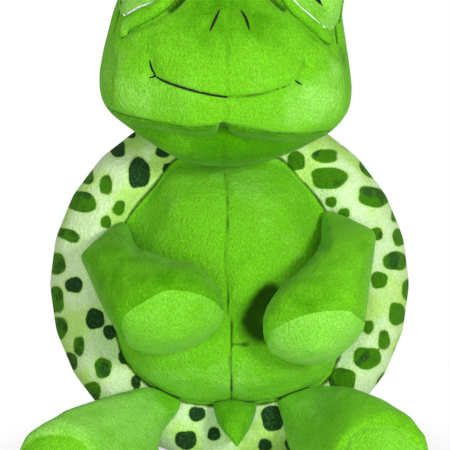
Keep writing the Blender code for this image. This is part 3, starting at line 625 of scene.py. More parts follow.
def knitted_plush(name, deep, base, tip, dyed=None, grain=(0.78, 1.20)):
    """Knitted polyester plush with a cut pile of about 1 mm, brushed and a little ruffled.

    The pile shows as fine flecks, as soft patches where it lies another way, and as a faint sheen at its edges,
    partly the shader's own sheen and partly painted into the colour. The pile strokes paint light and shade too.
    Where the cloth is tucked into a seam or a crease, or presses on a neighbour, it is darkened: the dark base of
    the pile shows where it parts, and shade is painted.
    """
    sizes, colours = bpy.context.scene.turtle_sizes, bpy.context.scene.turtle_colours
    deep, base, tip, roots = (solid(getattr(colours, part)) for part in (deep, base, tip, "roots"))
    made, tree = new_material(name)
    place = place_in(tree)
    inputs = {"Vector": place, "Rotation": (0, PILE_SLANT, 0), "Scale": PILE_STRETCH}
    drawn = node(tree, "ShaderNodeMapping", inputs=inputs).outputs[0]
    fleck = noise(tree, drawn, sizes.pile_grain, 2.0)
    lock = noise(tree, drawn, sizes.pile_grain * 3, 1.0)
    patch = noise(tree, place, sizes.nap_patch, 1.5)
    broad = noise(tree, place, sizes.nap_patch * 3.5, 1.0)
    # How the pile lies, from the pile strokes and noise: towards the shade colour below zero, towards the tips above
    # it. The pile strokes carry painted light and shade.
    lie_and_shading = weighted(tree, worked(tree, "SUBTRACT", attribute(tree, "nap"), 0.65), (patch, 0.7), (broad, 0.6))
    cloth = mixed(tree, ramped(tree, lie_and_shading, -0.9, 0.0, 1.0, 0.0), base, deep)
    cloth = mixed(tree, ramped(tree, lie_and_shading, 0.0, 0.9), cloth, tip)
    # Painted sheen: the colour goes towards the tips where the surface turns away from the view.
    facing = node(tree, "ShaderNodeLayerWeight", inputs={"Blend": 0.5}).outputs["Facing"]
    cloth = mixed(tree, ramped(tree, facing, 0.45, 0.95, 0.0, 0.4), cloth, tip)
    if dyed:
        cloth = dyed(tree, place, fleck, patch, cloth)
    cloth = mixed(tree, 1.0, cloth, ramped(tree, fleck, 0.28, 0.72, *grain), "MULTIPLY")
    # Painted shade, and the dark base of the pile where it parts, where the cloth is tucked or presses on a neighbour.
    parted_and_shaded = weighted(tree, attribute(tree, "tuck"), (fleck, 0.5), (patch, 0.6))
    cloth = mixed(tree, ramped(tree, parted_and_shaded, 1.00, 1.60, 0.0, 0.9), cloth, roots)
    height = weighted(tree, 0.0, (ramped(tree, fleck, 0.30, 0.70), 0.6), (patch, 1.4), (lock, 2.2))
    sheen = {"Sheen Weight": 0.06, "Sheen Roughness": 0.5, "Sheen Tint": (0.62, 1.0, 0.35, 1.0)}
    surfaced(tree, cloth, 0.95, 0.04, height, 0.6, 0.0008, **sheen)
    return made


def lime_plush():
    return knitted_plush("lime_knitted_plush", "lime_deep", "lime", "lime_tip")


def spotted_plush():
    """The same plush, pale and dyed with spots. The dye's edge follows the locks of the pile."""
    colours = bpy.context.scene.turtle_colours
    spot, spot_tip, spot_dark, spread = (
        solid(getattr(colours, part)) for part in ("spot", "spot_tip", "spot_dark", "shell_blotch")
    )

    def dyed(tree, place, fleck, patch, cloth):
        blotch = noise(tree, place, BLOTCH_WIDTH, 2.0)
        cloth = mixed(tree, ramped(tree, blotch, 0.44, 0.62, 0.0, 0.9), cloth, spread)
        inside = attribute(tree, "spot")
        cloth = mixed(tree, ramped(tree, inside, -2.2, 0.2, 0.0, 0.55), cloth, spread)
        # Dark spots: on the back a darker dye, on the underside painted shade
        dye = mixed(tree, attribute(tree, "spot_dark"), spot, spot_dark)
        dye = mixed(tree, ramped(tree, patch, 0.48, 0.66, 0.0, 0.75), dye, spot_dark)
        dye = mixed(tree, ramped(tree, fleck, 0.55, 0.75, 0.0, 0.35), dye, spot_tip)
        return mixed(tree, ramped(tree, weighted(tree, inside, (fleck, 1.2)), 0.25, 1.05), cloth, dye)

    return knitted_plush("spotted_knitted_plush", "shell_deep", "shell", "shell_tip", dyed, (0.86, 1.10))


def satin_stitch(name, shade, spacing, roughness, gloss=0.4):
    """Rayon thread laid side by side: fine ridges and a soft gloss."""
    made, tree = new_material(name)
    dark = tuple(getattr(bpy.context.scene.turtle_colours, shade))
    light = tuple(min(1.0, part * 1.35 + 0.01) for part in dark)
    settings = {"wave_type": "BANDS", "bands_direction": "DIAGONAL"}
    inputs = {"Vector": place_in(tree), "Scale": 1 / spacing / 6.28, "Distortion": 0.8, "Detail": 1.0}
    ridges = node(tree, "ShaderNodeTexWave", settings, inputs).outputs["Fac"]
    surfaced(tree, mixed(tree, ridges, solid(dark), solid(light)), roughness, gloss, ridges, 0.35, 0.0002)
    return made


# The body: belly, shell and neck

BODY_NODES = ("belly_panel_left", "belly_panel_right", "shell_underside", "shell_back", "body_stuffing")
BELLY_OUTLINE = (  # across and over the floor, clockwise from the top left
    (-0.0265, 0.1680), (0.0000, 0.1710), (0.0250, 0.1680), (0.0380, 0.1560), (0.0500, 0.1420), (0.0600, 0.1210),
    (0.0640, 0.0980), (0.0635, 0.0760), (0.0590, 0.0570), (0.0520, 0.0450), (0.0390, 0.0385), (0.0250, 0.0345),
    (0.0000, 0.0320), (-0.0230, 0.0340), (-0.0350, 0.0375), (-0.0445, 0.0440), (-0.0560, 0.0560), (-0.0620, 0.0720),
    (-0.0650, 0.0950), (-0.0620, 0.1170), (-0.0550, 0.1350), (-0.0410, 0.1520),
)  # fmt: skip
# Pile strokes on the belly, as HEAD_NAP_AND_SHADING: painted light low on the belly, painted shade beside the right
# arm
BELLY_NAP_AND_SHADING = (
    (228, 180, 40, 0.12), (178, 215, 30, 0.15), (280, 205, 30, 0.10), (235, 250, 30, -0.10), (240, 320, 26, -0.20),
    (165, 378, 30, 0.40), (228, 385, 30, 0.30), (300, 380, 30, 0.25), (215, 345, 20, -0.1),
)  # fmt: skip
BELLY_SEAM = ((226, 172), (227, 215), (226, 260), (228, 300), (231, 330), (230, 365), (232, 390), (231, 408))
# A fold beside the right arm, where a painted shadow stands for the arm's shadow on the belly
BELLY_FOLD_SHADOW = ((270, 294), (263, 302), (257, 311), (254, 320), (256, 328), (263, 332))
BELLY_CREASE = ((233, 343), (240, 345), (247, 345))
BELLY_LINES = (  # pixels, depth as a share of a seam's and its reach in metres, then the reach and darkness of the painted shade along it; the fold's is the painted shadow that the right arm casts on the belly
    (smooth_pixels(BELLY_SEAM), 0.8, 0.00154, 0.00132, 1.05),
    (smooth_pixels(BELLY_FOLD_SHADOW), 3.75, 0.0085, 0.0085, 1.25),
    (BELLY_CREASE, 0.5, 0.0016, 0.0016, 0.9),
)
SPOTS = (  # pixels of the photograph: across, down, breadth, height, turned by degrees, dark, which marks spots under the head, beside the left arm and between the legs, whose darker green is painted shade
    (131, 134, 10, 9, 0, 1), (118, 149, 15, 17, 0, 1), (163, 151, 15, 14, 0, 1), (139, 173, 22, 31, 0, 1),
    (87, 176, 14, 17, 0, 0), (106, 185, 13, 20, 0, 0), (168, 169, 11, 13, 0, 1), (82, 202, 29, 21, 10, 0),
    (119, 208, 12, 16, 20, 0), (106, 222, 11, 13, 0, 0), (68, 235, 26, 12, 20, 0), (57, 264, 17, 22, 0, 0),
    (74, 285, 18, 16, 0, 1), (56, 300, 16, 27, 0, 0), (95, 319, 19, 21, 0, 1), (59, 328, 17, 23, 0, 0),
    (110, 332, 14, 15, 0, 1), (79, 346, 11, 20, 0, 0), (125, 356, 13, 18, 0, 1), (70, 362, 15, 19, 0, 0),
    (103, 368, 17, 21, 0, 0), (136, 382, 10, 15, 0, 1), (92, 392, 18, 21, 0, 0), (118, 403, 14, 12, 0, 0),
    (346, 143, 9, 17, -40, 0), (296, 161, 18, 20, 0, 0), (325, 156, 26, 14, 0, 0), (329, 178, 36, 22, 0, 0),
    (368, 168, 14, 22, -35, 0), (331, 202, 12, 11, 0, 0), (373, 197, 31, 20, 15, 0), (396, 215, 10, 16, 0, 0),
    (344, 213, 12, 10, 0, 0), (376, 234, 14, 13, 0, 0), (399, 237, 13, 18, 0, 0), (395, 261, 24, 19, 0, 0),
    (379, 280, 17, 17, 0, 0), (407, 290, 10, 22, 0, 0), (397, 314, 17, 23, 0, 0), (368, 327, 12, 14, 0, 0),
    (384, 340, 12, 20, 0, 0), (367, 358, 28, 22, 0, 0), (397, 357, 9, 18, 0, 0), (342, 381, 27, 27, 0, 0),
    (383, 382, 12, 19, 20, 0), (197, 414, 17, 15, 0, 1), (273, 418, 24, 26, 0, 1), (186, 440, 22, 19, 0, 1),
    (214, 434, 13, 14, 0, 1), (265, 445, 14, 13, 0, 1), (292, 444, 15, 13, 0, 1),
)  # fmt: skip
SPOT_SQUARE = 2.5  # 2 would be an ellipse
SPOT_DEPTH = 0.9
SPOT_FAR = -3.0  # millimetres, for what is in no spot
SPOT_TRIES, SPOT_GAP = 4000, 2.6  # millimetres between two spots of the back
BLOTCH_WIDTH = 1 / 38
BACK_DEPTH = 0.06  # from the disc's middle to the top of the back
BACK_REACH = 150  # millimetres to each side


def disc_place(across, over_floor):
    """A point of the disc's middle plane, from its place across and over the floor."""
    up = (over_floor - DISC_MIDDLE.z) / DISC_UP.z
    return DISC_MIDDLE + X * across + DISC_UP * up


def dye_spots(piece, across, down, spots, pixel, depths=None):
    """Writes how far inside a spot each point is, in millimetres, and whether that spot is dark: a darker dye on the
    back, painted shade on the underside.

    depths are how far away each point and each spot's middle is and how far the cloth turns away at each point, so
    that a spot stops behind the edge of what is seen.
    """
    best, dark = np.full(len(across), SPOT_FAR), np.zeros(len(across))
    for index, (middle, drop, breadth, height, turn, is_dark) in enumerate(spots):
        c, s = math.cos(math.radians(turn)), math.sin(math.radians(turn))
        dx, dy = across - middle, down - drop
        u, v = (dx * c + dy * s) / (breadth / 2), (dy * c - dx * s) / (height / 2)
        wave = 1 + 0.05 * np.sin(3 * np.arctan2(v, u) + middle) + 0.03 * np.sin(5 * np.arctan2(v, u) + drop)
        w = depths[2] * (depths[0] - depths[1][index]) / (max(breadth, height) * pixel * SPOT_DEPTH) if depths else 0
        squared = sum(np.abs(part) ** SPOT_SQUARE for part in (u, v, w)) ** (1 / SPOT_SQUARE)
        inside = (wave - squared) * min(breadth, height) / 2 * pixel * 1000
        dark = np.where(inside > best, float(is_dark), dark)
        best = np.maximum(inside, best)
    field(piece, "spot", best)
    field(piece, "spot_dark", dark)


def back_spots():
    """Spots of the shell's back, in millimetres across and up from its middle, spread evenly but not in rows."""
    chance = np.random.default_rng(11)
    made = []
    for _ in range(SPOT_TRIES):
        x, y = chance.uniform(-BACK_REACH, BACK_REACH, 2)
        breadth, height = chance.uniform(9, 16), chance.uniform(8, 13)
        reach = max(breadth, height) / 2
        if all(math.hypot(x - a, y - b) > reach + max(c, d) / 2 + SPOT_GAP for a, b, c, d, _, _ in made):
            made.append((x, y, breadth, height, chance.uniform(-60, 60), float(chance.uniform() < 0.15)))
    return made


def disc_seam(tree, outline):
    """Where an outline on the disc is seen from its front."""
    return [tree.ray_cast(place + DISC_FRONT * FAR, -DISC_FRONT)[0] for place in [*outline, outline[0]]]


def rim_seam(tree, middle):
    """The seam all round the shell's rim."""
    ways = [X * math.sin(turn) + DISC_UP * math.cos(turn) for turn in np.linspace(0, 2 * math.pi, 97)]
    places = [tree.ray_cast(middle + way * FAR, -way)[0] for way in ways]
    return [place for place in places if place is not None]


class TURTLE_OT_body(bpy.types.Operator):
    """Makes the belly, the spotted underside and the spotted back from one stuffed form"""

    bl_idname = "turtle.body"
    bl_label = "Belly and Shell"

    def execute(self, context):
        sizes = context.scene.turtle_sizes
        depth = sizes.seam_depth
        whole = soft_form("body_form", BODY_NODES, sizes.body_voxel, 26)
        outline = smooth_curve([disc_place(*place) for place in BELLY_OUTLINE], True, 6)
        rim_middle = DISC_MIDDLE + DISC_FRONT * RIM_SEAM
        tree = tree_of(whole)
        rim = rim_seam(tree, rim_middle)
        press(whole, disc_seam(tree, outline), depth * 1.6, SEAM_REACH * 1.5, 0)
        for pixels, share, reach, _, _ in BELLY_LINES:
            press(whole, seen_at(tree, pixels), depth * share, reach, 0)
        press(whole, rim, depth * 0.7, SEAM_REACH, 0)
        points = points_of(whole)
        points[:, 2] = np.maximum(points[:, 2], 0)
        move_points(whole, points)
        skin = tree_of(whole)

        back = copied(whole, "shell_back_cover")
        halved(back, rim_middle, -DISC_FRONT)
        halved(whole, rim_middle, DISC_FRONT)
        cutter = prism("belly_outline", outline, DISC_FRONT, -0.002, FAR)
        belly = copied(whole, "belly_cover")
        cut(belly, cutter, "INTERSECT")
        cut(whole, cutter, "DIFFERENCE")
        whole.name = whole.data.name = "shell_underside_cover"
        remove(cutter)

        points = points_of(whole)
        turned = np.clip((0.25 - normals_of(whole) @ np.array(CAMERA_BACK)) / 0.35, 0, 1)
        middles = [place.dot(-CAMERA_BACK) for place in seen_at(skin, [spot[:2] for spot in SPOTS])]
        depths = (points @ np.array(-CAMERA_BACK), middles, turned)
        dye_spots(whole, *camera_view(points)[:2], SPOTS, PIXEL, depths)
        local = points_of(back) - np.array(DISC_MIDDLE)
        across, up, behind = local @ np.array(X), local @ np.array(DISC_UP), -(local @ np.array(DISC_FRONT))
        flat = np.hypot(across, up) + 1e-9
        arc = (flat + 0.5 * np.clip(BACK_DEPTH - behind, 0, 1)) / flat * 1000
        dye_spots(back, across * arc, up * arc, back_spots(), 0.001)

        # Painted shade along the belly's seam, the rim and the belly's lines, darkest in the fold beside the right
        # arm; pile strokes paint light and shade on the belly
        for piece in (belly, whole):
            tuck(piece, disc_seam(skin, outline), SEAM_REACH * 0.8, 0.95)
        for piece in (back, whole):
            tuck(piece, rim, SEAM_REACH * 0.5, 0.5)
        for pixels, _, _, reach, mark in BELLY_LINES:
            tuck(belly, seen_at(skin, pixels), reach, mark)
        brush_nap_and_shade(belly, BELLY_NAP_AND_SHADING, 0.03)
        lime, spotted = lime_plush(), spotted_plush()
        finished(belly, "body", lime, ("belly_panel_left", "belly_panel_right"))
        finished(whole, "body", spotted, ("shell_underside", "body_stuffing"))
        finished(back, "body", spotted, ("shell_back",))
        return {"FINISHED"}


# The head

HEAD_NODES = ("face_panel_left", "face_panel_right", "chin_panel_left", "chin_panel_right", "head_back_panel")
HEAD_SWELLS = (  # on each side: outward, forward and up, then how far and how widely the stuffing bulges
    (0.047, 0.045, 0.016, 0.0035, 0.030),
    (0.018, 0.066, 0.012, 0.0022, 0.024),
)
CHIN_SEAM = (
    (106, 106), (112, 110), (126, 115), (143, 119), (159, 122), (188, 127), (209, 126), (222, 125.5), (232, 125.5),
    (253, 129), (276, 133), (306, 133), (335, 128.5), (345, 122), (351, 112),
)  # fmt: skip
CHIN_SEWN = slice(8, -4)  # the part of it that shows
CHIN_OVERHANG, CHIN_CREASE = 4.5, 1.5  # pixels below the seam
CHIN_STEP = (0.0024, 0.0046, 0.013)  # how far one panel rises, how far the next one drops, and how widely
SIDE_STEP = (0.0008, 0.0022, 0.010)
HEAD_SEAM = ((231, 0), (229, 15), (227, 30), (225.5, 60), (225, 100), (224, 120), (222.5, 135), (222, 150), (222, 163))
SIDE_SEAM_LEFT = ((107, 41), (112, 52), (115, 62), (113, 75), (111, 90), (111, 104))
SIDE_SEAM_RIGHT = ((330, 48), (338, 58), (343, 70), (345, 85), (346, 100), (345, 112))
MOUTH = (
    (155, 76), (165, 81.5), (180, 87), (200, 92.5), (218, 96), (228, 97), (245, 96.5), (262, 94), (280, 88.5),
    (297, 82),
)  # fmt: skip
CORNER_LEFT = ((149.5, 60), (151.5, 68), (155, 75.5), (149, 78))
CORNER_RIGHT = ((295, 80.5), (298, 82.5), (302, 84.5))
NOSTRIL_LEFT = ((219.5, 10), (215, 20), (210, 31))
NOSTRIL_RIGHT = ((241, 10.5), (246, 19), (249.5, 30))
MOUTH_SUNK_FROM = 226  # from this pixel on the thread lies under the pile
LID_CREASE_LEFT = ((188, -12), (179, 0), (170, 8.5), (160, 16), (152, 21), (140, 26), (128, 31), (118, 34))
LID_CREASE_RIGHT = ((264, -14), (275, -1), (284, 7), (290, 12.5), (298, 19.5), (304, 25), (316, 35), (328, 43))
EVEN, STRAIGHT = (5, 0.010), (1, 0.004)  # bends and slack of a line that is level with the surface
HEAD_LINES = (  # pixels, shares of a seam's depth and reach, and how dark the painted shade along it is
    (smooth_pixels(HEAD_SEAM), 0.7, 0.5, 0.6),
    (smooth_pixels(SIDE_SEAM_LEFT), 0.5, 0.8, 0.6, *EVEN),
    (smooth_pixels(SIDE_SEAM_RIGHT), 0.5, 0.8, 0.6, *EVEN),
    (((223, 129), (224, 134)), 2.2, 1.3, 0.95),
    (smooth_pixels(((222, 133), (217, 142), (213, 153))), 1.0, 1.0, 0.55),
    (smooth_pixels(((225, 132), (234, 138), (245, 143))), 0.8, 1.0, 0.3),
    (smooth_pixels(CORNER_LEFT), 1.3, 1.4, 0.35),
    (smooth_pixels(((298, 82), (301, 74), (306, 63))), 1.3, 1.4, 0.6),
    (smooth_pixels(MOUTH), 0.8, 0.7, 0.8),
    (smooth_pixels(LID_CREASE_LEFT[:3]), 1.0, 1.3, 1.0, *EVEN),
    (smooth_pixels(LID_CREASE_LEFT), 1.0, 0.9, 0.5, *EVEN),
    (smooth_pixels(LID_CREASE_RIGHT[:3]), 1.0, 1.3, 1.0, *EVEN),
    (smooth_pixels(LID_CREASE_RIGHT), 1.0, 0.9, 0.5, *EVEN),
    (smooth_pixels(((120.5, -6), (119.5, 3), (118, 12), (115, 22), (111, 33))), 1.2, 1.2, 1.0, *STRAIGHT),
    (smooth_pixels(((333, -4), (335, 6), (335.5, 16), (335, 26), (338, 34), (342, 41))), 1.2, 1.2, 1.0, *STRAIGHT),
)
HEAD_NAP_AND_SHADING = (  # pixels across and down, reach in pixels, and how the pile lies there, which paints light and shade: darker below zero, lighter above it
    (229, 5, 40, -0.50), (195, 35, 30, -0.20), (265, 35, 30, -0.30), (200, 75, 30, 0.10), (262, 75, 30, 0.12),
    (125, 92, 26, 0.55), (118, 55, 12, 0.30), (325, 95, 30, 0.60), (337, 70, 14, 0.35), (300, 115, 26, 0.25),
    (180, 112, 24, 0.15), (150, 105, 22, 0.25), (145, 60, 14, -0.25), (310, 65, 16, -0.25),
    (245, 152, 30, -0.15), (343, 58, 9, -0.35), (104, 78, 14, 0.35), (170, 140, 22, 0.30), (229, 20, 22, 0.05),
)  # fmt: skip
HEAD_CENTRE = (226, 40)
HEAD_OUTLINE = (
    (117, 0), (112, 15), (107, 35), (103, 50), (99, 75), (100, 95), (106, 108), (120, 122), (140, 136), (165, 152),
    (185, 162), (205, 166), (230, 167), (255, 165), (280, 157), (305, 147), (330, 133), (345, 118), (351, 105),
    (352, 85), (349, 60), (346, 40), (342, 15), (338, 0),
)  # fmt: skip
PANELS = (  # pixels round a panel, and how its pile lies, which paints the panel lighter or darker: the chin panel darker, as painted shade under the muzzle
    ((*CHIN_SEAM, (362, 140), (300, 175), (225, 185), (150, 175), (90, 130)), -0.68),
    (((96, 44), *SIDE_SEAM_LEFT, (108, 106), (96, 108), (90, 75)), 0.08),
    (((350, 44), (336, 50), *SIDE_SEAM_RIGHT[1:], (350, 110), (362, 108), (362, 60)), -0.25),
)


class TURTLE_OT_head(bpy.types.Operator):
    """Makes the stuffed head: the muzzle with its seams, the cheeks and the pinched chin"""

    bl_idname = "turtle.head"
    bl_label = "Head"

    def execute(self, context):
        sizes = context.scene.turtle_sizes
        depth = sizes.seam_depth
        head = soft_form("head_cover", (*HEAD_NODES, "head_stuffing"), sizes.head_voxel, 24)
        for side in (-1, 1):
            for outward, forward, up, rise, reach in HEAD_SWELLS:
                swell(head, HEAD @ Vector((side * outward, -forward, up)), rise, reach)
        fit_outline(head, HEAD_CENTRE, HEAD_OUTLINE)
        tree = tree_of(head)
        chin = smooth_pixels(CHIN_SEAM)
        edge = seen_at(tree, [(x, y + CHIN_OVERHANG) for x, y in chin])[CHIN_SEWN]
        step(head, edge, Z, -Y, *CHIN_STEP)
        for line, side in ((SIDE_SEAM_LEFT, 1), (SIDE_SEAM_RIGHT, -1)):
            step(head, level_with(tree, smooth_pixels(line), *EVEN), X * side, X * -side, *SIDE_STEP)
        tree = tree_of(head)
        edge = seen_at(tree, [(x, y + CHIN_CREASE) for x, y in chin])[CHIN_SEWN]
        # The chin's seam pulled in, with painted shade along it
        press(head, edge, depth * 0.7, SEAM_REACH * 0.8, 0.8)
        for pixels, share, wide, mark, *level in HEAD_LINES:
            path = level_with(tree, pixels, *level) if level else seen_at(tree, pixels)
            press(head, path, depth * share, SEAM_REACH * wide, mark)
        # Pile strokes and panels paint light and shade on the head
        brush_nap_and_shade(head, HEAD_NAP_AND_SHADING, -0.07)
        for outline, amount in PANELS:
            lay_and_shade_panel(head, outline, amount)
        finished(head, "head", lime_plush(), (*HEAD_NODES, "head_stuffing"))
        return {"FINISHED"}


class TURTLE_OT_embroidery(bpy.types.Operator):
    """Lays the threads of the mouth and the nostrils on the head"""

    bl_idname = "turtle.embroidery"
    bl_label = "Mouth and Nostrils"

    def execute(self, context):
        black = satin_stitch("black_rayon_thread", "black", 0.0006, 0.8, 0.15)
        tree = tree_of(bpy.data.objects["head_cover"])
        for name, line, share, node_name in (
            ("mouth_line", MOUTH, 1.1, "mouth_thread"),
            ("mouth_corner_stitch_left", CORNER_LEFT, 1.1, "mouth_corner_left"),
            ("mouth_corner_stitch_right", CORNER_RIGHT, 1.0, "mouth_corner_right"),
            ("nostril_stitch_left", NOSTRIL_LEFT, 1.4, "nostril_thread_left"),
            ("nostril_stitch_right", NOSTRIL_RIGHT, 1.4, "nostril_thread_right"),
        ):
            pixels = smooth_pixels(line, 5)
            shown = [pixel for pixel in pixels if line is not MOUTH or pixel[0] < MOUTH_SUNK_FROM]
            path = seen_at(tree, shown, THREAD * 0.1) + seen_at(tree, pixels[len(shown) :], -THREAD * 1.1)
            thread(name, path, THREAD * share, black, node_name)
        return {"FINISHED"}


# The eyes. They are cut off in the photograph, so their upper halves are a guess

EYE_PLACE = Vector((0.0394, -0.0241, 0.080))
EYE_FACING = Vector((0.38, -0.80, 0.46))
EYE_LONG_WAY = Vector((0.42, 0.0, -0.907))
EYE_LONG = 0.029
EYE_SHORT = 0.0185
EYE_DRAG = (350, 2, 18, -8, 0)  # where, reach, and pixels to move it right and down
FACING_LIFT, PUPIL_LIFT, HIGHLIGHT_LIFT = 0.0005, 0.0004, 0.0008
FACING_BACK, PATCH_BACK = -0.02, -0.006  # how deep the cuts round them go
EYE_LINES = {  # the white piping, in pixels across and down
    "left": (
        (118, 3), (118.7, 9.8), (120.4, 13.8), (124.4, 14.9), (129, 13.8), (133.6, 10.9), (140, 7.5), (156, 2),
        (170, -5),
    ),
    "right": ((283, -11), (293, 0), (299.5, 7.7), (309.3, 15.4), (319, 24.6), (329.6, 30.9), (333, 29.6)),
}  # fmt: skip
LOWER_LIDS = {  # pixels across and down along the middle of the roll, and its radius in millimetres
    "left": (
        (178, -10, 2.6), (167, 0, 3.4), (156, 8.5, 3.9), (147, 14, 4.0), (137, 19, 3.8), (127, 22, 3.5),
        (120.5, 26, 3.0), (118, 32, 2.2),
    ),
    "right": (
        (283, -7, 2.4), (289, 2, 2.6), (297, 11, 2.8), (305, 18.5, 2.9), (313, 26, 3.0), (322, 33, 3.0),
        (331, 38.5, 2.6), (338, 42, 1.8),
    ),
}  # fmt: skip
EDGE_ARC, EDGE_RADII = (2.4, 0.1), (1.6, 1.6, 1.5, 1.3, 0.8)  # the edge of the upper lid, down the eye's outer side
EDGE_STEPS, EDGE_OUT, EDGE_REACH = 25, 0.0012, 0.0020
LID_REACH, BROW_REACH = 0.0012, 0.0016  # how far from a roll its neighbours get painted shade
# Pile strokes on the lid rolls, as HEAD_NAP_AND_SHADING, painting light and shade
LID_NAP_AND_SHADING = {"left": ((125, 25, 14, 0.45), (150, 14, 14, -0.15)), "right": ((310, 22, 16, -0.15), (335, 38, 8, -0.3))}
PUPIL_RIGHT = (
    (331, 11), (332.5, 3), (332, -8), (326, -17), (316, -19), (308, -14), (309.5, -6), (315.6, 0), (322, 5.6),
    (327, 9.5),
)  # fmt: skip
HIGHLIGHT_PLACE, HIGHLIGHT_RADIUS = (321, -9), 3.4
EYE_TIPS = {"left": (121.5, 15.0), "right": (331.0, 31.0)}
LEFT_EYE_TURN = math.radians(18.6)


def on_eye(pixels, label):
    """Pixels of the right eye, or the same ones mirrored to the left eye, which is turned a little more."""
    if label == "right":
        return list(pixels)
    tip, mirrored, turn = Vector(EYE_TIPS["right"]), Vector(EYE_TIPS["left"]), Matrix.Rotation(LEFT_EYE_TURN, 2)
    return [mirrored + turn @ Vector((tip.x - across, down - tip.y)) for across, down in pixels]


def pixel_prism(name, pixels, middle, low):
    """A cutter that shows as an outline of pixels, from so far behind a place on."""
    way = -sight(*map(float, np.mean(pixels, axis=0)))
    rays = [sight(*pixel) for pixel in pixels]
    shape = [CAMERA_PLACE + ray * ((middle - CAMERA_PLACE).dot(way) / ray.dot(way)) for ray in rays]
    return prism(name, shape, way, low, FAR / 4)


def eye_space(side):
    """z out of the eye, x down its long way."""
    def turned(v):
        return Vector((v.x * side, v.y, v.z))

    z = turned(EYE_FACING).normalized()
    across = turned(EYE_LONG_WAY)
    x = (across - z * across.dot(z)).normalized()
    matrix = Matrix((x, z.cross(x), z)).transposed().to_4x4()
    matrix.translation = turned(EYE_PLACE)
    return HEAD @ matrix


def grown(piece, label, lift):
    made = copied(piece, label)
    move_points(made, points_of(made) + normals_of(made) * lift)
    return made


def clipped(piece, pixels, middle, low):
    """Keeps what is seen inside an outline of pixels."""
    cutter = pixel_prism("pixel_outline", pixels, middle, low)
    cut(piece, cutter, "INTERSECT")
    remove(cutter)
    return piece


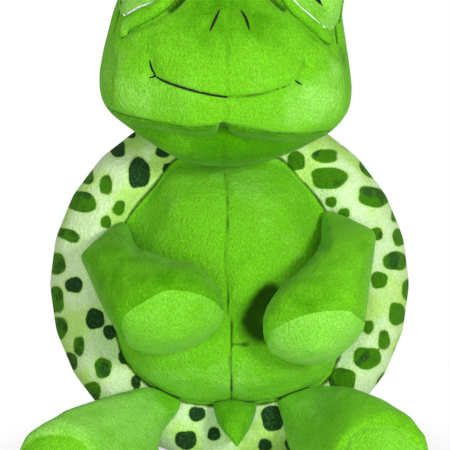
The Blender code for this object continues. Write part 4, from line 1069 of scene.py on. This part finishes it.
class TURTLE_OT_eyes(bpy.types.Operator):
    """Makes the stuffed eyes with their pupils, highlights, piping and padded lids"""

    bl_idname = "turtle.eyes"
    bl_label = "Eyes"

    def execute(self, context):
        self.cloth = knitted_plush("pale_green_velour", "lime", "eye", "eye_tip")
        self.black = satin_stitch("navy_satin_stitch", "pupil", 0.0007, 0.8, 0.1)
        self.white = satin_stitch("white_rayon_cord", "white", 0.0006, 0.7)
        self.lime = lime_plush()
        head = bpy.data.objects["head_cover"]
        domes = {}
        for label in ("left", "right"):
            nodes = (f"eye_dome_{label}", f"eye_stuffing_{label}")
            domes[label] = drag(soft_form(f"eye_ball_{label}", nodes, EYE_VOXEL, 12), *EYE_DRAG)
        whole = soft_form("eye_form", (head, *domes.values()), context.scene.turtle_sizes.head_voxel, 14)
        skin, head_skin = tree_of(whole), tree_of(head)
        for label, side in (("left", -1), ("right", 1)):
            space = eye_space(side)
            facing = self.facing(whole, skin, label, space)
            finished(domes[label], "head", self.cloth, (f"eye_stuffing_{label}",))
            self.lids(head, facing, (skin, head_skin), label, side, space)
            path = seen_at(tree_of(facing), smooth_pixels(EYE_LINES[label], 6), THREAD)
            name, replaced = f"eye_piping_cord_{label}", f"eye_piping_{label}"
            thread(name, path, THREAD * 0.9, self.white, replaced)
        remove(whole)
        return {"FINISHED"}

    def facing(self, whole, skin, label, space):
        """The pale front of one eye, with its pupil and highlight."""
        turns = [2 * math.pi * i / 48 for i in range(48)]
        ellipse = [space @ Vector((EYE_LONG * math.cos(a), EYE_SHORT * math.sin(a), 0)) for a in turns]
        spots = [*zip(*map(list, camera_view(np.array(ellipse))[:2])), *EYE_LINES[label]]
        hull = [spots[index] for index in convex_hull_2d([Vector(spot) for spot in spots])]
        middle = sum(seen_at(skin, EYE_LINES[label]), Vector()) / len(EYE_LINES[label])
        facing = clipped(grown(whole, f"eye_facing_{label}", FACING_LIFT), hull, middle, FACING_BACK)
        keep_largest(facing)
        x, y = on_eye([HIGHLIGHT_PLACE], label)[0]
        dot = [
            (x + HIGHLIGHT_RADIUS * math.cos(a), y + HIGHLIGHT_RADIUS * math.sin(a))
            for a in np.linspace(0, 2 * math.pi, 25)[:-1]
        ]
        pupil = smooth_pixels(on_eye(PUPIL_RIGHT, label), 4, True)
        for name, pixels, lift, coat, slot, replaced in (
            ("pupil_stitching", pupil, PUPIL_LIFT, self.black, "black_embroidery", "pupil"),
            ("highlight_stitching", dot, HIGHLIGHT_LIFT, self.white, "white_embroidery", "eye_highlight"),
        ):
            patch = clipped(grown(facing, f"{name}_{label}", lift), pixels, middle, PATCH_BACK)
            finished(patch, "head", coat, (f"{replaced}_{label}",))
        # Pile strokes paint the right eye's front darker, as painted shade, and the left one's lighter, as painted
        # light
        brush_nap_and_shade(facing, ((312, 12, 22, -0.55), (140, 0, 20, 0.15)))
        return finished(facing, "head", self.cloth, (f"eye_dome_{label}",))

    def lids(self, head, facing, skins, label, side, space):
        """The padded lids of one eye: above it, below it and down its outer side."""
        skin, head_skin = skins
        facing_skin = tree_of(facing)
        edge = [
            skin.find_nearest(space @ Vector((EYE_LONG * math.cos(a), EYE_SHORT * side * math.sin(a), 0)))[0]
            for a in np.linspace(*EDGE_ARC, EDGE_STEPS)
        ]
        # Painted shade along the upper lid's edge, on the eye and on the head
        for piece in (facing, head):
            tuck(piece, edge, EDGE_REACH, 1.0)
        lid = soft_form(f"upper_eyelid_{label}_roll", (f"upper_eyelid_{label}",), LID_VOXEL, 40)
        drag(lid, *EYE_DRAG)
        finished(lid, "head", self.lime, (f"upper_eyelid_{label}",))
        line = smooth_curve(LOWER_LIDS[label], False, 6)
        below = level_with(skin, [(p.x, p.y) for p in line], 3, 0.004)
        steps = np.linspace(0, len(EDGE_RADII) - 1, EDGE_STEPS)
        edge_radii = np.interp(steps, range(len(EDGE_RADII)), EDGE_RADII).tolist()
        outward = (space.to_3x3() @ Vector((0, side, 0))) * EDGE_OUT
        for name, path, radii, replaced in (
            (f"lower_eyelid_{label}_roll", below, [p.z for p in line], (f"lower_eyelid_{label}",)),
            (f"eyelid_edge_{label}", [place + outward for place in edge], edge_radii, ()),
        ):
            roll = padded_roll(name, path, [radius / 1000 for radius in radii])
            # Pile strokes paint light and shade on the roll; then painted shade where it presses on the head and the
            # eye, and on them beside it
            brush_nap_and_shade(roll, LID_NAP_AND_SHADING[label], -0.1)
            shade_where_pressed(roll, head_skin, LID_REACH, 0.6)
            shade_where_pressed(roll, facing_skin, LID_REACH, 0.9)
            shade_where_pressed(head, tree_of(roll), BROW_REACH, 0.9)
            shade_where_pressed(facing, tree_of(roll), LID_REACH, 0.9)
            finished(roll, "head", self.lime, replaced)


# Arms, legs, tail and neck

LIMBS = (
    ("arm_left", "palm_pad_left"),
    ("arm_right", "palm_pad_right"),
    ("leg_left", "sole_left"),
    ("leg_right", "sole_right"),
)
PAD_BACK = -0.045  # how deep the cuts round them go
PADS = {  # the seam that is seen, then the places past the limb's outline that close it
    "arm_left": (
        ((129, 350), (124.5, 338), (122, 326), (124, 317), (134, 308), (146, 301), (158, 294), (169, 290.5),
         (182, 291), (195, 293.5), (206, 297), (215, 302), (223, 310)),
        ((238, 316), (232, 350), (190, 375), (140, 375), (126, 362)),
    ),
    "arm_right": (
        ((267, 352), (267.5, 342), (270, 332), (278, 327), (288, 322), (305, 315.5), (324, 311.5), (346, 311),
         (355, 315), (366, 324)),
        ((380, 322), (375, 355), (330, 380), (280, 378), (256, 362)),
    ),
    "leg_left": (
        ((19, 452), (38, 437), (65, 436), (84, 444), (92, 462)),
        ((88, 500), (40, 510), (8, 490)),
    ),
    "leg_right": (
        ((336, 470), (345, 444), (365, 427), (400, 428), (416, 444), (428, 452)),
        ((436, 490), (390, 510), (345, 505)),
    ),
}
LIMB_OUTLINES = {  # a place inside, and the outline as it is seen, in pixels across and down
    "arm_left": (
        (125, 290),
        ((130.5, 228), (123, 220), (117.6, 223), (104.6, 232.4), (88, 247), (79.6, 255.6), (88, 274), (99, 300),
         (110, 320), (119.4, 337), (130.5, 348), (147, 353.7), (164, 354.6), (186, 351), (208, 339), (221, 326),
         (224.6, 309), (221, 292.6), (212, 278), (193.5, 263), (171, 259), (147, 251), (136, 246), (132.4, 239),
         (130.5, 228)),
    ),
    "arm_right": (
        (345, 285),
        ((321, 224), (323, 209), (349, 217.6), (373, 229.6), (376.5, 233), (375.5, 244), (372, 268.5), (369.5, 285),
         (367.6, 304), (364, 329.6), (353.7, 344), (339, 357), (329, 364), (313, 365.7), (293, 364), (281.5, 359),
         (267.6, 350), (263, 333), (262.6, 318.5), (268.5, 302), (281.5, 285), (298, 272), (313, 257), (321, 241),
         (321, 224)),
    ),
    "leg_left": (
        (105, 438),
        ((20, 447), (28, 433), (45, 422), (65, 410), (100, 399), (145, 385), (166, 388), (182, 399), (178, 412),
         (163, 430), (158, 448)),
    ),
    "leg_right": (
        (350, 438),
        ((288, 448), (284, 425), (276, 399), (286, 391), (320, 384), (350, 387), (385, 400), (410, 415), (425, 435),
         (429, 448)),
    ),
    "tail": (
        (235, 416),
        ((214, 402), (214, 410), (217, 422), (223, 431), (231, 440), (237, 448), (242, 440), (248, 431), (253, 421),
         (256, 410), (256, 402)),
    ),
}  # fmt: skip
LIMB_NAP_AND_SHADING = {  # as HEAD_NAP_AND_SHADING, and how the pile lies elsewhere on the limb, which paints the whole limb lighter or darker
    "arm_left": (((105, 265, 24, -0.10), (165, 275, 26, -0.15), (112, 335, 16, 0.55)), -0.50),
    "arm_right": (((345, 235, 22, 0.20), (300, 295, 20, -0.15), (368, 320, 14, 0.35)), -0.27),
    "leg_left": (((120, 405, 40, 0.30), (50, 430, 26, 0.15), (172, 402, 14, -0.5)), 0.40),
    "leg_right": (((320, 400, 34, 0.30), (400, 420, 26, -0.30)), 0.12),
}  # fmt: skip
# How the pile lies on each pad, which paints it lighter or darker as a whole: the soles and the left palm in painted
# shade
PAD_NAP_AND_SHADING = {"arm_left": -0.45, "arm_right": 0.25, "leg_left": -0.9, "leg_right": -0.5}


class TURTLE_OT_limbs(bpy.types.Operator):
    """Makes the arms with their palm pads, the legs with their soles, and the tail"""

    bl_idname = "turtle.limbs"
    bl_label = "Arms, Legs and Tail"

    def execute(self, context):
        sizes = context.scene.turtle_sizes
        lime = lime_plush()
        pad_coat = knitted_plush("pad_knitted_plush", "lime", "pad", "pad_tip")
        body = tree_of(*(bpy.data.objects[name] for name in ("belly_cover", "shell_underside_cover")))
        for name, pad_name in LIMBS:
            nodes = (f"{name}_cover", pad_name, f"{name}_stuffing")
            limb = fit_outline(soft_form(f"{name}_plush", nodes, sizes.limb_voxel, 20), *LIMB_OUTLINES[name])
            line, closing = PADS[name]
            line = smooth_pixels(line, 5)
            seam = seen_at(tree_of(limb), line)
            press(limb, seam, sizes.seam_depth * 0.6, SEAM_REACH * 0.8, 0)
            cutter = pixel_prism("pad_outline", [*line, *closing], sum(seam, Vector()) / len(seam), PAD_BACK)
            pad = copied(limb, f"{pad_name}_plush")
            keep_largest(cut(pad, cutter, "INTERSECT"))
            keep_largest(cut(limb, cutter, "DIFFERENCE"))
            remove(cutter)
            # Painted shade along the pad's seam and where the piece presses on the body; pile strokes paint light and
            # shade on the limb and the pad
            for piece in (limb, pad):
                tuck(piece, seam, SEAM_REACH * 0.45, 0.62)
                shade_where_pressed(piece, body, 0.0022, 1.2)
            brush_nap_and_shade(limb, *LIMB_NAP_AND_SHADING[name])
            brush_nap_and_shade(pad, (), PAD_NAP_AND_SHADING[name])
            finished(pad, name, pad_coat, (pad_name,))
            finished(limb, name, lime, (f"{name}_cover", f"{name}_stuffing"))
        tail = soft_form("tail_plush", ("tail_cover", "tail_stuffing"), sizes.limb_voxel * 0.8, 8)
        fit_outline(tail, *LIMB_OUTLINES["tail"])
        # Painted shade where the tail presses on the body; its pile strokes darken the whole tail as painted shade
        # under the shell
        shade_where_pressed(tail, body, 0.0018, 1.1)
        brush_nap_and_shade(tail, (), -0.4)
        finished(tail, "tail", lime, ("tail_cover", "tail_stuffing"))
        neck = soft_form("neck_plush", ("neck_stuffing",), sizes.limb_voxel, 6)
        finished(neck, "neck", lime, ("neck_stuffing",))
        return {"FINISHED"}


# The stage

FLOOR_RADIUS = 0.9
FLOOR_DROP = 0.0004
PAPER_WHITE = (0.93, 0.93, 0.93, 1)
WHITE = (1, 1, 1, 1)
WORLD_GLOW = 0.20  # what the world lights things with; it is seen as 1
LAMPS = (  # name, place, size and power
    ("key_softbox", (0.60, -1.10, 0.45), 0.26, 10.5),
    ("fill_softbox", (-0.35, -1.25, 0.20), 0.80, 7.4),
    ("top_softbox", (-0.1, -0.1, 1.1), 0.6, 2.5),
    ("rear_softbox", (0.3, 1.2, 0.6), 0.8, 3.0),
)
LAMPS_AIM = Vector((0, 0, 0.13))


class TURTLE_OT_stage(bpy.types.Operator):
    """Makes the pale floor, the soft lamps, the white world and the camera"""

    bl_idname = "turtle.stage"
    bl_label = "Stage"

    def execute(self, context):
        scene = context.scene
        deselect()
        bpy.ops.mesh.primitive_circle_add(
            vertices=96, radius=FLOOR_RADIUS, fill_type="NGON", location=(0, 0, -FLOOR_DROP)
        )
        floor = context.active_object
        floor.name = "studio_floor"
        coat, tree = new_material("white_studio_paper")
        camera_ray = node(tree, "ShaderNodeLightPath").outputs["Is Camera Ray"]
        away = node(tree, "ShaderNodeVectorMath", {"operation": "LENGTH"}, {0: place_in(tree)}).outputs["Value"]
        fade = worked(tree, "MULTIPLY", ramped(tree, away, 0.08, 0.15, 0.6, 1.0), camera_ray)
        paper = node(tree, "ShaderNodeBsdfDiffuse", inputs={"Color": PAPER_WHITE})
        white = node(tree, "ShaderNodeEmission", inputs={"Color": WHITE, "Strength": 1.0})
        both = node(tree, "ShaderNodeMixShader", inputs={0: fade, 1: paper.outputs[0], 2: white.outputs[0]})
        node(tree, "ShaderNodeOutputMaterial", inputs={"Surface": both.outputs[0]})
        floor.data.materials.append(coat)

        world = bpy.data.worlds.new("white_studio")
        scene.world = world
        world.use_nodes = True
        tree = world.node_tree
        tree.nodes.clear()
        rays = node(tree, "ShaderNodeLightPath").outputs
        seen = worked(tree, "MAXIMUM", rays["Is Camera Ray"], rays["Is Glossy Ray"])
        seen = worked(tree, "MAXIMUM", seen, rays["Is Transmission Ray"])
        strength = weighted(tree, WORLD_GLOW, (seen, 1 - WORLD_GLOW))
        background = node(tree, "ShaderNodeBackground", inputs={"Color": WHITE, "Strength": strength})
        node(tree, "ShaderNodeOutputWorld", inputs={"Surface": background.outputs[0]})

        for name, at, size, power in LAMPS:
            lamp = bpy.data.lights.new(name, "AREA")
            lamp.shape = "DISK"
            lamp.size = size
            lamp.energy = power
            holder = linked(name, lamp)
            holder.location = at
            holder.rotation_euler = (LAMPS_AIM - Vector(at)).to_track_quat("-Z", "Y").to_euler()

        lens = bpy.data.cameras.new("photo_camera")
        lens.sensor_width = SENSOR * 1000
        lens.lens = LENS_PIXELS / PHOTO_SIDE * SENSOR * 1000
        camera = linked("photo_camera", lens)
        camera.location = CAMERA_PLACE
        camera.rotation_euler = (math.pi / 2 - CAMERA_RISE, 0, 0)
        scene.camera = camera
        scene.view_settings.view_transform = "Standard"
        return {"FINISHED"}


class TURTLE_PT_panel(bpy.types.Panel):
    """Lists the turtle's sizes, colours and pieces"""

    bl_label = "Plush Turtle"
    bl_space_type = "VIEW_3D"
    bl_region_type = "UI"
    bl_category = "Plush Turtle"

    def draw(self, context):
        for group in (context.scene.turtle_sizes, context.scene.turtle_colours):
            box = self.layout.box()
            for name in group.__annotations__:
                box.prop(group, name)
        for operator in OPERATORS:
            self.layout.operator(operator.bl_idname)


OPERATORS = (TURTLE_OT_stage, TURTLE_OT_body, TURTLE_OT_head, TURTLE_OT_embroidery, TURTLE_OT_eyes, TURTLE_OT_limbs)
CLASSES = (TurtleSizes, TurtleColours, *OPERATORS, TURTLE_PT_panel)


def register():
    for made in CLASSES:
        bpy.utils.register_class(made)
    bpy.types.Scene.turtle_sizes = PointerProperty(type=TurtleSizes)
    bpy.types.Scene.turtle_colours = PointerProperty(type=TurtleColours)


def unregister():
    del bpy.types.Scene.turtle_colours
    del bpy.types.Scene.turtle_sizes
    for made in reversed(CLASSES):
        bpy.utils.unregister_class(made)


def main():
    register()
    bpy.ops.turtle.stage()
    bpy.ops.turtle.body()
    bpy.ops.turtle.head()
    bpy.ops.turtle.embroidery()
    bpy.ops.turtle.eyes()
    bpy.ops.turtle.limbs()


if __name__ == "__main__":
    main()
